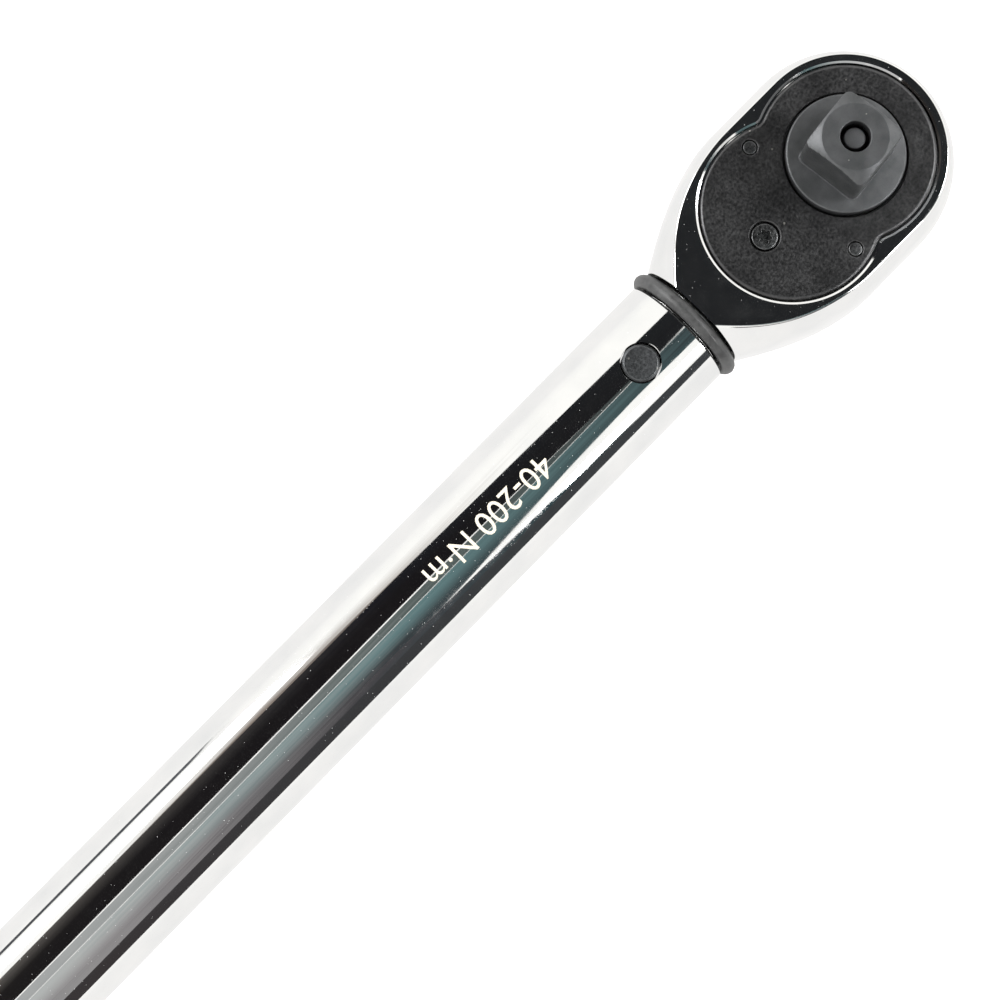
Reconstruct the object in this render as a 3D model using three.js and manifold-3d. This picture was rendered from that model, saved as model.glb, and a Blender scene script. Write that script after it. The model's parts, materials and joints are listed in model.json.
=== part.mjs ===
// A click-type torque wrench with a half-inch reversible ratchet head, as an assembly of separate pieces.
// Millimetres, +Z up. +X runs from the handle to the head, and the drive square points up.
// The pieces are drawn with the drive axis at x = 0 and the tube's axis at z = 0, and one group places them.

import * as THREE from 'three';
import { mergeVertices } from 'three/addons/utils/BufferGeometryUtils.js';
import Module from 'manifold-3d';

const wasm = await Module();
wasm.setup();

// Sizes that the rest follow
const TUBE_R = 11.1;
const TUBE_WALL = 2;
const TUBE_LENGTH = 323.65;
const TUBE_BORE_R = TUBE_R - TUBE_WALL;
const GEAR_R = 12.6;
const SQUARE = 12.7;

// Clearances
const FIT = 0.3; // between neighbouring pieces
const PIN_FIT = 0.2; // round a small fixed pin
const CUT = 1; // how far a cutting shape runs past the surface that it cuts

// Head forging
const HEAD_R = GEAR_R + 7.85;
const HEAD_CENTRE_X = 0.7;
const HEAD_HALF_THICKNESS = 12.2;
const SIDE_BULGE = 2.6; // power of the side wall's curve, where 2 would be a parabola
const SIDE_INSET = 2.15; // how far the milled flat's edge lies inside the bulge of the side wall
const NECK_INSET = 6; // the same at the shoulder
const EDGE_BREAK = 0.3;
const FLANK_START_X = -12;
const SHOULDER_X = -38.7;
const SHOULDER_HALF_WIDTH = TUBE_R - 0.1;
const FLANK_PULL_X = -22; // the flank's curve leaves the straight towards here
const SHOULDER_PULL_X = -31; // and reaches the shoulder from here
const SHOULDER_PULL = 4.6;
const TAIL_LENGTH = 85.3; // from the shoulder to the end of the lever inside the tube
const TAIL_WIDTH = 9;
const TAIL_HEIGHT = 10;

// Drive
const SQUARE_LENGTH = 13.5;
const SQUARE_TURN = THREE.MathUtils.degToRad(6); // how far the square is turned from the wrench's axis
const SQUARE_CORNER = 1.3; // flat across each corner
const SQUARE_CHAMFER_R = SQUARE / 2 - 0.35; // radius of the flat circle left on the square's end
const SQUARE_CHAMFER_SLOPE = 0.62;
const FLANGE_R = GEAR_R - 1.7;
const FLANGE_STAND = 1.8; // above the cover
const FLANGE_CHAMFER = 0.5;
const GEAR_TEETH = 45;
const TOOTH_DEPTH = 0.9;
const JOURNAL_R = GEAR_R - 4;
const JOURNAL_SET_IN = 0.7; // of the journal's end inside the lever's face
const DRIVE_BORE_R = SQUARE * 0.2165;

// Quick release
const ROD_R = DRIVE_BORE_R - 0.6;
const ROD_NECK_R = ROD_R - 1;
const ROD_RECESS = 1.4; // of the rod's tip below the square's end
const BUTTON_R = 4.2;
const BUTTON_HEIGHT = 4.3;
const BUTTON_TRAVEL = 2.5;
const SPRING_ROOM = 4.3; // between the pressed button and the end of its bore
const BALL_R = DRIVE_BORE_R - 0.4;
const BALL_DEPTH = 6; // of the ball's centre below the square's end
const BALL_GAP = 0.35; // between the ball and the rod
const BALL_X = ROD_R + BALL_GAP + BALL_R; // of the ball's centre from the drive's axis
const RELEASE_WIRE = 0.8;

// Cover plate, its screw and the pawl pins
const COVER_THICKNESS = 2.4;
const COVER_STAND = 0.4; // above the milled flat
const COVER_FRONT_R = GEAR_R + 3.7;
const COVER_FRONT_X = 0.5;
const COVER_REAR_R = GEAR_R + 3.9;
const COVER_REAR_X = -GEAR_R - 1.4;
const COVER_NOTCH_R = 2.5;
const FLANGE_GAP = 0.5;
const SCREW_X = -GEAR_R - 8.3;
const SCREW_HEAD_R = 2.45;
const SCREW_HEAD_HEIGHT = 1.5;
const SCREW_R = 1.5;
const SCREW_LENGTH = 9;
const STAR_R = 1.2;
const STAR_DEPTH = 1;
const PAWL_PIN_R = 1.3;
const PAWL_PIN_DEPTH = 2.2; // below the pawl pocket's floor

// Ratchet mechanism
const FLOOR = 3.2 - HEAD_HALF_THICKNESS; // height of the gear pocket's floor
const PAWL_FLOOR = FLOOR + 4; // height of the pawl pocket's floor
const POCKET_CLEARANCE = 1.6; // of the gear pocket round the gear
const PAWL_ANGLE = THREE.MathUtils.degToRad(17); // between each pawl and the wrench's width
const PAWL_LINE = GEAR_R + 1.86; // from the drive's axis to a pawl's centre line
const PAWL_BACK = 9.33; // from that line's nearest point back to the pawl's pin
const PAWL_PIN_X = PAWL_BACK * Math.sin(PAWL_ANGLE) - PAWL_LINE * Math.cos(PAWL_ANGLE);
const PAWL_PIN_Y = PAWL_LINE * Math.sin(PAWL_ANGLE) + PAWL_BACK * Math.cos(PAWL_ANGLE);
const PAWL_EYE_R = 2.3;
const PAWL_INNER = 0.6; // of the pawl's inner side from its centre line
const PAWL_OUTER = 1.9;
const PAWL_LENGTH = 11.2;
const PAWL_LIFT = THREE.MathUtils.degToRad(10);
const PAWL_TEETH = 3;
const BOSS_R = 3.2; // of the web that the cover screw goes into
const PAWL_POCKET_R = GEAR_R + 2;
const PAWL_POCKET_END_X = SCREW_X + 0.3;
const STRIP_THICKNESS = 0.4;
const STRIP_HEIGHT = 6;
const SELECTOR_THICKNESS = 1.6;
const FINGER_THICKNESS = 0.95;
const FINGER_HALF_ANGLE = THREE.MathUtils.degToRad(5);
const FINGER_HEIGHT = 5.6;
const LEVER_TURN = THREE.MathUtils.degToRad(14); // each way from the middle
const LEVER_R = GEAR_R + 0.9;
const LEVER_DROP = 5.3; // of the lever's face below the head
const LEVER_HUB_R = GEAR_R - 2.4;
const LEVER_TAB_LENGTH = 24;
const LEVER_TAB_WIDTH = 8;
const LEVER_TAB_FLARE = 3; // how much wider the tab is each side at the drive's axis
const LEVER_TAB_STEP = 1; // of the tab above the disc's face

// Neck joint
const O_RING_SECTION = 2.8;
const O_RING_OUTER_R = TUBE_R + 1.2;
const O_RING_GAP = 0.4;
const NECK_R = TUBE_BORE_R - 0.6;
const NECK_END_X = -62;
const NECK_TIP_R = 6;
const PIVOT_X = -52.7;
const PIVOT_R = 3.45;
const PIVOT_CHAMFER = 0.45;

// Tube and what slides or stands in it
const TUBE_CHAMFER = 0.4;
const BLOCK_LINK = 7; // between the centres of the tilt block's round ends
const BLOCK_R = 3.5;
const BLOCK_HEIGHT = 8;
const PLUNGER_R = TUBE_BORE_R - 0.4;
const PLUNGER_LENGTH = 21;
const PLUNGER_DISH_R = 6.2; // wide enough for the tilt block to swing in
const PLUNGER_DISH_DEPTH = 1.5;
const SPIGOT_R = 4.2;
const SPIGOT_LENGTH = 8;
const SPRING_WIRE = 3.4;
const SPRING_MEAN_R = PLUNGER_R - 0.3 - SPRING_WIRE / 2;
const SPRING_COILS = 15;
const SEAT_THICKNESS = 6;
const THRUST_BALL_R = 3;
const BALL_IN_SEAT = 1; // how far the ball's middle goes past its radius into the seat
const BALL_IN_SCREW = 0.6; // how deep the ball sits in the screw's tip
const SCREW_THREAD_R = 7;
const SCREW_THREAD_LENGTH = 99.5;
const SCREW_SHANK_R = 5;
const SCREW_SHANK_LENGTH = 22.5;
const SCREW_BORE_R = 2.5;
const NUT_LENGTH = 38;
const NUT_INSET = 2; // of the nut from the tube's end
const NUT_PIN_R = 1.5;

// Handle and lock
const HANDLE_OVERLAP = 53.85; // of the handle over the tube at the lowest setting
const HANDLE_LENGTH = 118;
const THIMBLE_R = TUBE_R + 3.5;
const THIMBLE_LIP_R = TUBE_R + 1.5;
const THIMBLE_LENGTH = 22;
const BEVEL_LENGTH = 10; // of the thimble's bevelled front
const GRIP_R = TUBE_R + 6.4;
const HANDLE_WALL_GAP = 0.3; // between the handle's bore and the tube
const PLUG_R = TUBE_R - 1;
const PLUG_LENGTH = 24;
const PLUG_SET_IN = 2; // of the plug's rear face inside the sleeve
const PLUG_PIN_R = 1.5;
const PLUG_PIN_SET_BACK = 8; // from the plug's front face
const SHANK_SET_IN = 11.5; // of the screw's end inside the sleeve
const DRAG_RING_SECTION = 1.6;
const DRAG_RING_SET_BACK = 9;
const KNOB_R = 15.5;
const KNOB_LENGTH = 17;
const KNOB_GAP = 1;
const KNOB_STEM_R = 6;
const KNOB_STEM_LENGTH = 8;
const LOCK_ROD_R = 2.2;
const LOCK_CONE_TIP_R = 1.2;
const LOCK_CONE_LENGTH = 6;
const PAD_R = 1.5;
const PAD_SET_IN = 3; // of the pad's centre inside the nut's rear end
const CONE_OVERLAP = 0.7; // share of the cone's length that stands past the pad

// Places worked out from the sizes
const FLAT_Z = HEAD_HALF_THICKNESS;
const COVER_TOP = FLAT_Z + COVER_STAND;
const COVER_BOTTOM = COVER_TOP - COVER_THICKNESS;
const FLANGE_TOP = COVER_TOP + FLANGE_STAND;
const SQUARE_TOP = FLANGE_TOP + SQUARE_LENGTH;
const BALL_Z = SQUARE_TOP - BALL_DEPTH;
const LEVER_BOTTOM = -FLAT_Z - LEVER_DROP;
const GEAR_TOP = COVER_BOTTOM - FIT;
const SELECTOR_BOTTOM = FLOOR + FIT;
const SELECTOR_TOP = SELECTOR_BOTTOM + SELECTOR_THICKNESS;
const GEAR_BOTTOM = SELECTOR_TOP + FIT;
const GEAR_POCKET_R = GEAR_R + POCKET_CLEARANCE;
const JOURNAL_BOTTOM = LEVER_BOTTOM + JOURNAL_SET_IN;
const BUTTON_BOTTOM = JOURNAL_BOTTOM - 0.2;
const BUTTON_TOP = BUTTON_BOTTOM + BUTTON_HEIGHT;
const BUTTON_BORE_R = BUTTON_R + FIT;
const BUTTON_BORE_TOP = BUTTON_TOP + BUTTON_TRAVEL + SPRING_ROOM;
const TAIL_END_X = SHOULDER_X - TAIL_LENGTH;
const O_RING_X = SHOULDER_X - FIT - O_RING_SECTION / 2;
const O_RING_MEAN_R = O_RING_OUTER_R - O_RING_SECTION / 2;
const MOUTH_X = O_RING_X - O_RING_SECTION / 2 - O_RING_GAP;
const TUBE_END_X = MOUTH_X - TUBE_LENGTH;
const BLOCK_FRONT_X = TAIL_END_X - FIT - BLOCK_R;
const BLOCK_REAR_X = BLOCK_FRONT_X - BLOCK_LINK;
const DISH_X = BLOCK_REAR_X - BLOCK_R - FIT;
const PLUNGER_FRONT_X = DISH_X + PLUNGER_DISH_DEPTH;
const SPRING_FRONT_X = PLUNGER_FRONT_X - PLUNGER_LENGTH;
const HANDLE_FRONT_X = TUBE_END_X + HANDLE_OVERLAP;
const HANDLE_REAR_X = HANDLE_FRONT_X - HANDLE_LENGTH;
const SHANK_END_X = HANDLE_REAR_X + SHANK_SET_IN;
const THREAD_END_X = SHANK_END_X + SCREW_SHANK_LENGTH;
const SCREW_TIP_X = THREAD_END_X + SCREW_THREAD_LENGTH;
const THRUST_BALL_X = SCREW_TIP_X + THRUST_BALL_R - BALL_IN_SCREW;
const SEAT_REAR_X = THRUST_BALL_X + THRUST_BALL_R - BALL_IN_SEAT;
const SEAT_X = SEAT_REAR_X + SEAT_THICKNESS;
const NUT_REAR_X = TUBE_END_X + NUT_INSET;
const NUT_FRONT_X = NUT_REAR_X + NUT_LENGTH;
const NUT_PIN_X = (NUT_REAR_X + NUT_FRONT_X) / 2;
const PAD_X = NUT_REAR_X + PAD_SET_IN;
const HANDLE_BORE_R = TUBE_R + HANDLE_WALL_GAP;
const PLUG_FRONT_X = HANDLE_REAR_X + PLUG_SET_IN + PLUG_LENGTH;
const PLUG_PIN_X = PLUG_FRONT_X - PLUG_PIN_SET_BACK;
const KNOB_FRONT_X = HANDLE_REAR_X - KNOB_GAP;
const KNOB_END_X = KNOB_FRONT_X - KNOB_LENGTH;
const LOCK_TIP_X = PAD_X + LOCK_CONE_LENGTH * CONE_OVERLAP;
const LOCK_END_X = KNOB_FRONT_X - KNOB_LENGTH / 2;

// A closed surface as a solid that can be joined and cut.
function solid(geometry) {
  geometry.deleteAttribute('normal');
  geometry.deleteAttribute('uv');
  const welded = mergeVertices(geometry, 1e-4);
  const corners = welded.index.array;
  const triVerts = [];
  for (let i = 0; i < corners.length; i += 3) {
    const [a, b, c] = corners.slice(i, i + 3);
    if (a !== b && b !== c && c !== a) triVerts.push(a, b, c);
  }
  const vertProperties = welded.attributes.position.array;
  if (signedVolume(vertProperties, triVerts) < 0) triVerts.reverse();
  const mesh = new wasm.Mesh({ numProp: 3, vertProperties, triVerts: new Uint32Array(triVerts) });
  return new wasm.Manifold(mesh);
}

// Positive when the triangles face outwards.
function signedVolume(positions, triVerts) {
  const corner = (k) => new THREE.Vector3().fromArray(positions, 3 * triVerts[k]);
  let volume = 0;
  for (let i = 0; i < triVerts.length; i += 3) {
    volume += corner(i).dot(corner(i + 1).cross(corner(i + 2)));
  }
  return volume;
}

// A profile of [distance along the axis, radius] points, turned about the Y axis.
function lathe(profile, segments) {
  const points = profile.map(([along, r]) => new THREE.Vector2(r, along));
  return new THREE.LatheGeometry(points, segments);
}

// The same, turned about the X axis.
function turnedX(profile, segments = 32) {
  return solid(lathe(profile, segments).rotateZ(-Math.PI / 2));
}

// The same, turned about the Z axis.
function turnedZ(profile, segments = 32) {
  return solid(lathe(profile, segments).rotateX(Math.PI / 2));
}

// A round hole along X.
function boreX(radius, low, high) {
  return turnedX([[low, 0], [low, radius], [high, radius], [high, 0]], 16);
}

// A flat outline between two heights.
function slab(shape, low, high, curveSegments = 12) {
  const options = { depth: high - low, bevelEnabled: false, curveSegments };
  const geometry = new THREE.ExtrudeGeometry(shape, options);
  return solid(geometry.translate(0, 0, low));
}

function discShape(radius, x = 0, y = 0) {
  const shape = new THREE.Shape();
  shape.absarc(x, y, radius, 0, 2 * Math.PI);
  return shape;
}

// A round post or hole along Z.
function postZ(radius, x, y, low, high, curveSegments = 12) {
  return slab(discShape(radius, x, y), low, high, curveSegments);
}

// A round post or hole along Y.
function postY(radius, x, z, low, high, segments = 16) {
  const geometry = new THREE.CylinderGeometry(radius, radius, high - low, segments);
  return solid(geometry.translate(x, (low + high) / 2, z));
}

function ball(radius, x, y, z) {
  return solid(new THREE.SphereGeometry(radius, 12, 8).translate(x, y, z));
}

function turn(shape, angle) {
  return shape.rotate([0, 0, THREE.MathUtils.radToDeg(angle)]);
}

// A helical spring along X or Z, with its last coils closed up and its ends left round.
function helix(meanR, wireR, low, high, coils, steps, axis) {
  class Coil extends THREE.Curve {
    getPoint(t, target = new THREE.Vector3()) {
      const angle = 2 * Math.PI * coils * t;
      const along = low + (high - low) * (t + 0.5 * Math.sin(4 * Math.PI * t) / (2 * Math.PI * coils));
      const [u, v] = [meanR * Math.cos(angle), meanR * Math.sin(angle)];
      return axis === 'x' ? target.set(along, u, v) : target.set(u, v, along);
    }
  }
  const section = new THREE.Shape();
  section.absarc(0, 0, wireR, 0, 2 * Math.PI);
  const options = { steps: coils * steps, extrudePath: new Coil(), bevelEnabled: false, curveSegments: 3 };
  return solid(new THREE.ExtrudeGeometry(section, options));
}

// A solid whose outline changes with height: rings of matching points, with flat caps.
function lofted(rings) {
  const count = rings[0].length;
  const positions = rings.flat().flatMap((p) => [p.x, p.y, p.z]);
  const index = [];
  for (let level = 0; level < rings.length - 1; level++) {
    for (let i = 0; i < count; i++) {
      const a = level * count + i;
      const b = level * count + ((i + 1) % count);
      index.push(a, b, b + count, a, b + count, a + count);
    }
  }
  const top = (rings.length - 1) * count;
  for (const [a, b, c] of THREE.ShapeUtils.triangulateShape(rings[0], [])) {
    index.push(c, b, a);
  }
  for (const [a, b, c] of THREE.ShapeUtils.triangulateShape(rings.at(-1), [])) {
    index.push(top + a, top + b, top + c);
  }
  const geometry = new THREE.BufferGeometry();
  geometry.setAttribute('position', new THREE.Float32BufferAttribute(positions, 3));
  geometry.setIndex(index);
  return solid(geometry);
}

// Head forging

// The widest outline of the head's upper half in plan, from the nose to the shoulder.
function headOutline() {
  const path = new THREE.Path();
  path.absarc(HEAD_CENTRE_X, 0, HEAD_R, 0, Math.PI / 2);
  path.lineTo(FLANK_START_X, HEAD_R);
  const pullY = SHOULDER_HALF_WIDTH + SHOULDER_PULL;
  path.bezierCurveTo(FLANK_PULL_X, HEAD_R, SHOULDER_PULL_X, pullY, SHOULDER_X, SHOULDER_HALF_WIDTH);
  return path.getPoints(10);
}

// 0 over most of the head, rising to 1 at the shoulder.
function towardsNeck(x) {
  return THREE.MathUtils.clamp((x - FLANK_PULL_X) / (SHOULDER_X - FLANK_PULL_X), 0, 1);
}

// How far the outline draws in at the milled flat.
function flatInset(x) {
  return SIDE_INSET + (NECK_INSET - SIDE_INSET) * towardsNeck(x) ** 3;
}

function headRing(outline, z, extra) {
  const fall = Math.abs(z / HEAD_HALF_THICKNESS) ** SIDE_BULGE;
  const upper = outline.map((point, i) => {
    const before = outline[Math.max(i - 1, 0)];
    const after = outline[Math.min(i + 1, outline.length - 1)];
    const inward = new THREE.Vector2(before.y - after.y, after.x - before.x).normalize();
    if (i === 0) inward.set(-1, 0);
    inward.lerp(new THREE.Vector2(0, -1), towardsNeck(point.x));
    const moved = inward.multiplyScalar(flatInset(point.x) * fall + extra).add(point);
    return new THREE.Vector3(moved.x, Math.max(moved.y, 0), z);
  });
  const lower = upper.slice(1).reverse().map((p) => new THREE.Vector3(p.x, -p.y, z));
  return [...upper, ...lower];
}

function headBody() {
  const outline = headOutline();
  const half = [0, 0.37, 0.615, 0.803, 0.918].map((share) => share * HEAD_HALF_THICKNESS);
  half.push(HEAD_HALF_THICKNESS - EDGE_BREAK);
  const levels = [...half.slice(1).reverse().map((z) => -z), ...half];
  const rings = levels.map((z) => headRing(outline, z, 0));
  rings.unshift(headRing(outline, -HEAD_HALF_THICKNESS, EDGE_BREAK));
  rings.push(headRing(outline, HEAD_HALF_THICKNESS, EDGE_BREAK));
  return lofted(rings);
}

// The neck inside the tube's mouth, and the bar that reaches back to the tilt block.
function headTail() {
  const seatEndX = MOUTH_X + O_RING_GAP;
  const ringSeatR = O_RING_MEAN_R - O_RING_SECTION / 2 - FIT;
  const neck = turnedX([
    [SHOULDER_X + CUT, 0],
    [SHOULDER_X + CUT, ringSeatR],
    [seatEndX, ringSeatR],
    [seatEndX - 0.4, NECK_R],
    [NECK_END_X, NECK_R],
    [NECK_END_X - 4, NECK_TIP_R],
    [NECK_END_X - 4, 0],
  ]);
  const length = NECK_END_X - TAIL_END_X;
  const bar = new THREE.BoxGeometry(length, TAIL_WIDTH, TAIL_HEIGHT);
  return neck.add(solid(bar.translate(TAIL_END_X + length / 2, 0, 0)));
}

function coverShape(clearance) {
  const frontR = COVER_FRONT_R + clearance;
  const rearR = COVER_REAR_R + clearance;
  const notchR = COVER_NOTCH_R - clearance;
  // Each notch is a concave arc that touches both lobes.
  const span = COVER_FRONT_X - COVER_REAR_X;
  const toFront = frontR + notchR;
  const toRear = rearR + notchR;
  const along = (span * span + toRear * toRear - toFront * toFront) / (2 * span);
  const notchX = COVER_REAR_X + along;
  const notchY = Math.sqrt(toRear * toRear - along * along);
  const frontAngle = Math.atan2(notchY, notchX - COVER_FRONT_X);
  const rearAngle = Math.atan2(notchY, notchX - COVER_REAR_X);
  const shape = new THREE.Shape();
  shape.absarc(COVER_FRONT_X, 0, frontR, -frontAngle, frontAngle, false);
  shape.absarc(notchX, notchY, notchR, frontAngle - Math.PI, rearAngle - Math.PI, true);
  shape.absarc(COVER_REAR_X, 0, rearR, rearAngle, 2 * Math.PI - rearAngle, false);
  shape.absarc(notchX, -notchY, notchR, Math.PI - rearAngle, Math.PI - frontAngle, true);
  return shape;
}

// The space that the pawls, their pins and their spring move in.
function pawlPocket() {
  const low = PAWL_FLOOR;
  const high = COVER_BOTTOM + CUT;
  const round = postZ(PAWL_POCKET_R, COVER_REAR_X, 0, low, high);
  const span = 4 * PAWL_POCKET_R;
  const kept = new THREE.BoxGeometry(span, span, span).translate(PAWL_POCKET_END_X - span / 2, 0, 0);
  let pocket = round.subtract(solid(kept)).subtract(postZ(BOSS_R, SCREW_X, 0, low - CUT, high + CUT));
  const eyeR = PAWL_EYE_R + FIT;
  for (const side of [1, -1]) {
    pocket = pocket.add(postZ(eyeR, PAWL_PIN_X, side * PAWL_PIN_Y, low, high, 8));
  }
  return pocket;
}

function pawlPinHole(side, low, high) {
  return postZ(PAWL_PIN_R + PIN_FIT, PAWL_PIN_X, side * PAWL_PIN_Y, low, high, 8);
}

function ratchetHead() {
  const top = FLAT_Z + CUT;
  let head = headBody().add(headTail());
  head = head.subtract(slab(coverShape(FIT), COVER_BOTTOM - FIT, top, 16));
  head = head.subtract(postZ(GEAR_POCKET_R, 0, 0, FLOOR, COVER_BOTTOM, 16));
  head = head.subtract(pawlPocket());
  head = head.subtract(postZ(LEVER_HUB_R + FIT, 0, 0, -FLAT_Z - CUT, FLOOR + CUT, 16));
  head = head.subtract(postZ(PIVOT_R + FIT, PIVOT_X, 0, -FLAT_Z, FLAT_Z, 10));
  head = head.subtract(postZ(SCREW_R + FIT, SCREW_X, 0, COVER_BOTTOM - SCREW_LENGTH, COVER_BOTTOM, 8));
  for (const side of [1, -1]) {
    head = head.subtract(pawlPinHole(side, PAWL_FLOOR - PAWL_PIN_DEPTH - FIT, COVER_BOTTOM));
  }
  return head;
}

function coverPlate() {
  let plate = slab(coverShape(0), COVER_BOTTOM, COVER_TOP, 16);
  plate = plate.subtract(postZ(FLANGE_R + FLANGE_GAP, 0, 0, COVER_BOTTOM - CUT, COVER_TOP + CUT, 20));
  const sinkBottom = COVER_TOP - SCREW_HEAD_HEIGHT - FIT;
  plate = plate.subtract(postZ(SCREW_HEAD_R + FIT, SCREW_X, 0, sinkBottom, COVER_TOP + CUT, 10));
  plate = plate.subtract(postZ(SCREW_R + FIT, SCREW_X, 0, COVER_BOTTOM - CUT, sinkBottom + CUT, 8));
  for (const side of [1, -1]) {
    plate = plate.subtract(pawlPinHole(side, COVER_BOTTOM - CUT, COVER_TOP + CUT));
  }
  return plate;
}

function coverScrew() {
  const top = COVER_TOP - 0.2;
  const under = COVER_TOP - SCREW_HEAD_HEIGHT;
  const end = COVER_BOTTOM - SCREW_LENGTH + FIT;
  const screw = turnedZ([
    [end, 0],
    [end, SCREW_R - 0.3],
    [end + 0.5, SCREW_R],
    [under, SCREW_R],
    [under, SCREW_HEAD_R],
    [top - 0.25, SCREW_HEAD_R],
    [top, SCREW_HEAD_R - 0.25],
    [top, 0],
  ], 20);
  const lobes = new THREE.Shape();
  for (let i = 0; i < 24; i++) {
    const angle = (2 * Math.PI * i) / 24;
    const r = STAR_R * (0.86 + 0.14 * Math.cos(6 * angle));
    lobes.lineTo(r * Math.cos(angle), r * Math.sin(angle));
  }
  return screw.subtract(slab(lobes, top - STAR_DEPTH, top + CUT)).translate([SCREW_X, 0, 0]);
}

function pawlPin(side) {
  const low = PAWL_FLOOR - PAWL_PIN_DEPTH;
  return postZ(PAWL_PIN_R, PAWL_PIN_X, side * PAWL_PIN_Y, low, COVER_TOP - 0.1, 8);
}

// Drive gear with its flange, square and journal in one piece

function toothedShape() {
  const shape = new THREE.Shape();
  for (let i = 0; i < 2 * GEAR_TEETH; i++) {
    const angle = (Math.PI * i) / GEAR_TEETH;
    const r = i % 2 ? GEAR_R - TOOTH_DEPTH : GEAR_R;
    shape.lineTo(r * Math.cos(angle), r * Math.sin(angle));
  }
  return shape;
}

function squareEnd() {
  const half = SQUARE / 2;
  const shape = new THREE.Shape();
  shape.moveTo(half, SQUARE_CORNER - half);
  for (let i = 0; i < 4; i++) {
    const quarter = (Math.PI * i) / 2;
    const c = Math.round(Math.cos(quarter));
    const s = Math.round(Math.sin(quarter));
    for (const [u, v] of [[half, half - SQUARE_CORNER], [half - SQUARE_CORNER, half]]) {
      shape.lineTo(u * c - v * s, u * s + v * c);
    }
  }
  const bar = slab(shape, FLANGE_TOP - CUT, SQUARE_TOP);
  const reach = SQUARE / Math.SQRT2 + FIT / 10;
  const cone = turnedZ([
    [FLANGE_TOP - 2 * CUT, 0],
    [FLANGE_TOP - 2 * CUT, reach],
    [SQUARE_TOP - (reach - SQUARE_CHAMFER_R) * SQUARE_CHAMFER_SLOPE, reach],
    [SQUARE_TOP, SQUARE_CHAMFER_R],
    [SQUARE_TOP, 0],
  ], 40);
  return turn(bar.intersect(cone), SQUARE_TURN);
}

function driveGear() {
  const body = turnedZ([
    [JOURNAL_BOTTOM, 0],
    [JOURNAL_BOTTOM, JOURNAL_R - 0.4],
    [JOURNAL_BOTTOM + 0.4, JOURNAL_R],
    [GEAR_BOTTOM + CUT, JOURNAL_R],
    [GEAR_TOP - CUT, FLANGE_R],
    [FLANGE_TOP - FLANGE_CHAMFER, FLANGE_R],
    [FLANGE_TOP, FLANGE_R - FLANGE_CHAMFER],
    [FLANGE_TOP, 0],
  ], 40);
  const bore = turnedZ([
    [JOURNAL_BOTTOM - CUT, 0],
    [JOURNAL_BOTTOM - CUT, BUTTON_BORE_R],
    [BUTTON_BORE_TOP, BUTTON_BORE_R],
    [BUTTON_BORE_TOP, DRIVE_BORE_R],
    [SQUARE_TOP - 0.4, DRIVE_BORE_R],
    [SQUARE_TOP + CUT, DRIVE_BORE_R + 0.4 + CUT],
    [SQUARE_TOP + CUT, 0],
  ], 24);
  const hole = new THREE.CylinderGeometry(BALL_R + FIT, BALL_R + FIT, SQUARE, 16).rotateZ(Math.PI / 2);
  const ballHole = turn(solid(hole.translate(SQUARE / 2, 0, BALL_Z)), SQUARE_TURN);
  const whole = body.add(slab(toothedShape(), GEAR_BOTTOM, GEAR_TOP)).add(squareEnd());
  return whole.subtract(bore).subtract(ballHole);
}

// The button's rod holds the ball out, and lets it in where the rod narrows.
function releaseButton() {
  const neckTop = BALL_Z - BUTTON_TRAVEL;
  return turnedZ([
    [BUTTON_BOTTOM, 0],
    [BUTTON_BOTTOM, BUTTON_R - 0.5],
    [BUTTON_BOTTOM + 0.5, BUTTON_R],
    [BUTTON_TOP, BUTTON_R],
    [BUTTON_TOP, ROD_R],
    [neckTop - 2.6, ROD_R],
    [neckTop - 1.6, ROD_NECK_R],
    [neckTop, ROD_NECK_R],
    [BALL_Z, ROD_R],
    [SQUARE_TOP - ROD_RECESS - 0.2, ROD_R],
    [SQUARE_TOP - ROD_RECESS, ROD_R - 0.2],
    [SQUARE_TOP - ROD_RECESS, 0],
  ], 24);
}

function releaseSpring() {
  const wireR = RELEASE_WIRE / 2;
  const low = BUTTON_TOP + FIT / 2 + wireR;
  const high = BUTTON_BORE_TOP - FIT / 2 - wireR;
  return helix((ROD_R + BUTTON_BORE_R) / 2, wireR, low, high, 4, 9, 'z');
}

function detentBall() {
  return turn(ball(BALL_R, BALL_X, 0, BALL_Z), SQUARE_TURN);
}

// Reversing lever, selector and pawls

function reversingLever() {
  const face = -FLAT_Z - FIT;
  const disc = turnedZ([
    [LEVER_BOTTOM, 0],
    [LEVER_BOTTOM, LEVER_R - 1.2],
    [LEVER_BOTTOM + 1.2, LEVER_R],
    [face, LEVER_R],
    [face, LEVER_HUB_R],
    [SELECTOR_BOTTOM - FIT, LEVER_HUB_R],
    [SELECTOR_BOTTOM - FIT, 0],
  ], 40);
  const tab = new THREE.Shape();
  const half = LEVER_TAB_WIDTH / 2;
  tab.moveTo(0, -half - LEVER_TAB_FLARE);
  tab.lineTo(0, half + LEVER_TAB_FLARE);
  tab.lineTo(-LEVER_TAB_LENGTH + half, half);
  tab.absarc(-LEVER_TAB_LENGTH + half, 0, half, Math.PI / 2, 1.5 * Math.PI, false);
  const bore = postZ(JOURNAL_R + FIT, 0, 0, LEVER_BOTTOM - CUT, FLOOR + CUT, 16);
  const lever = disc.add(slab(tab, LEVER_BOTTOM + LEVER_TAB_STEP, face, 6)).subtract(bore);
  return turn(lever, LEVER_TURN);
}

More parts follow.
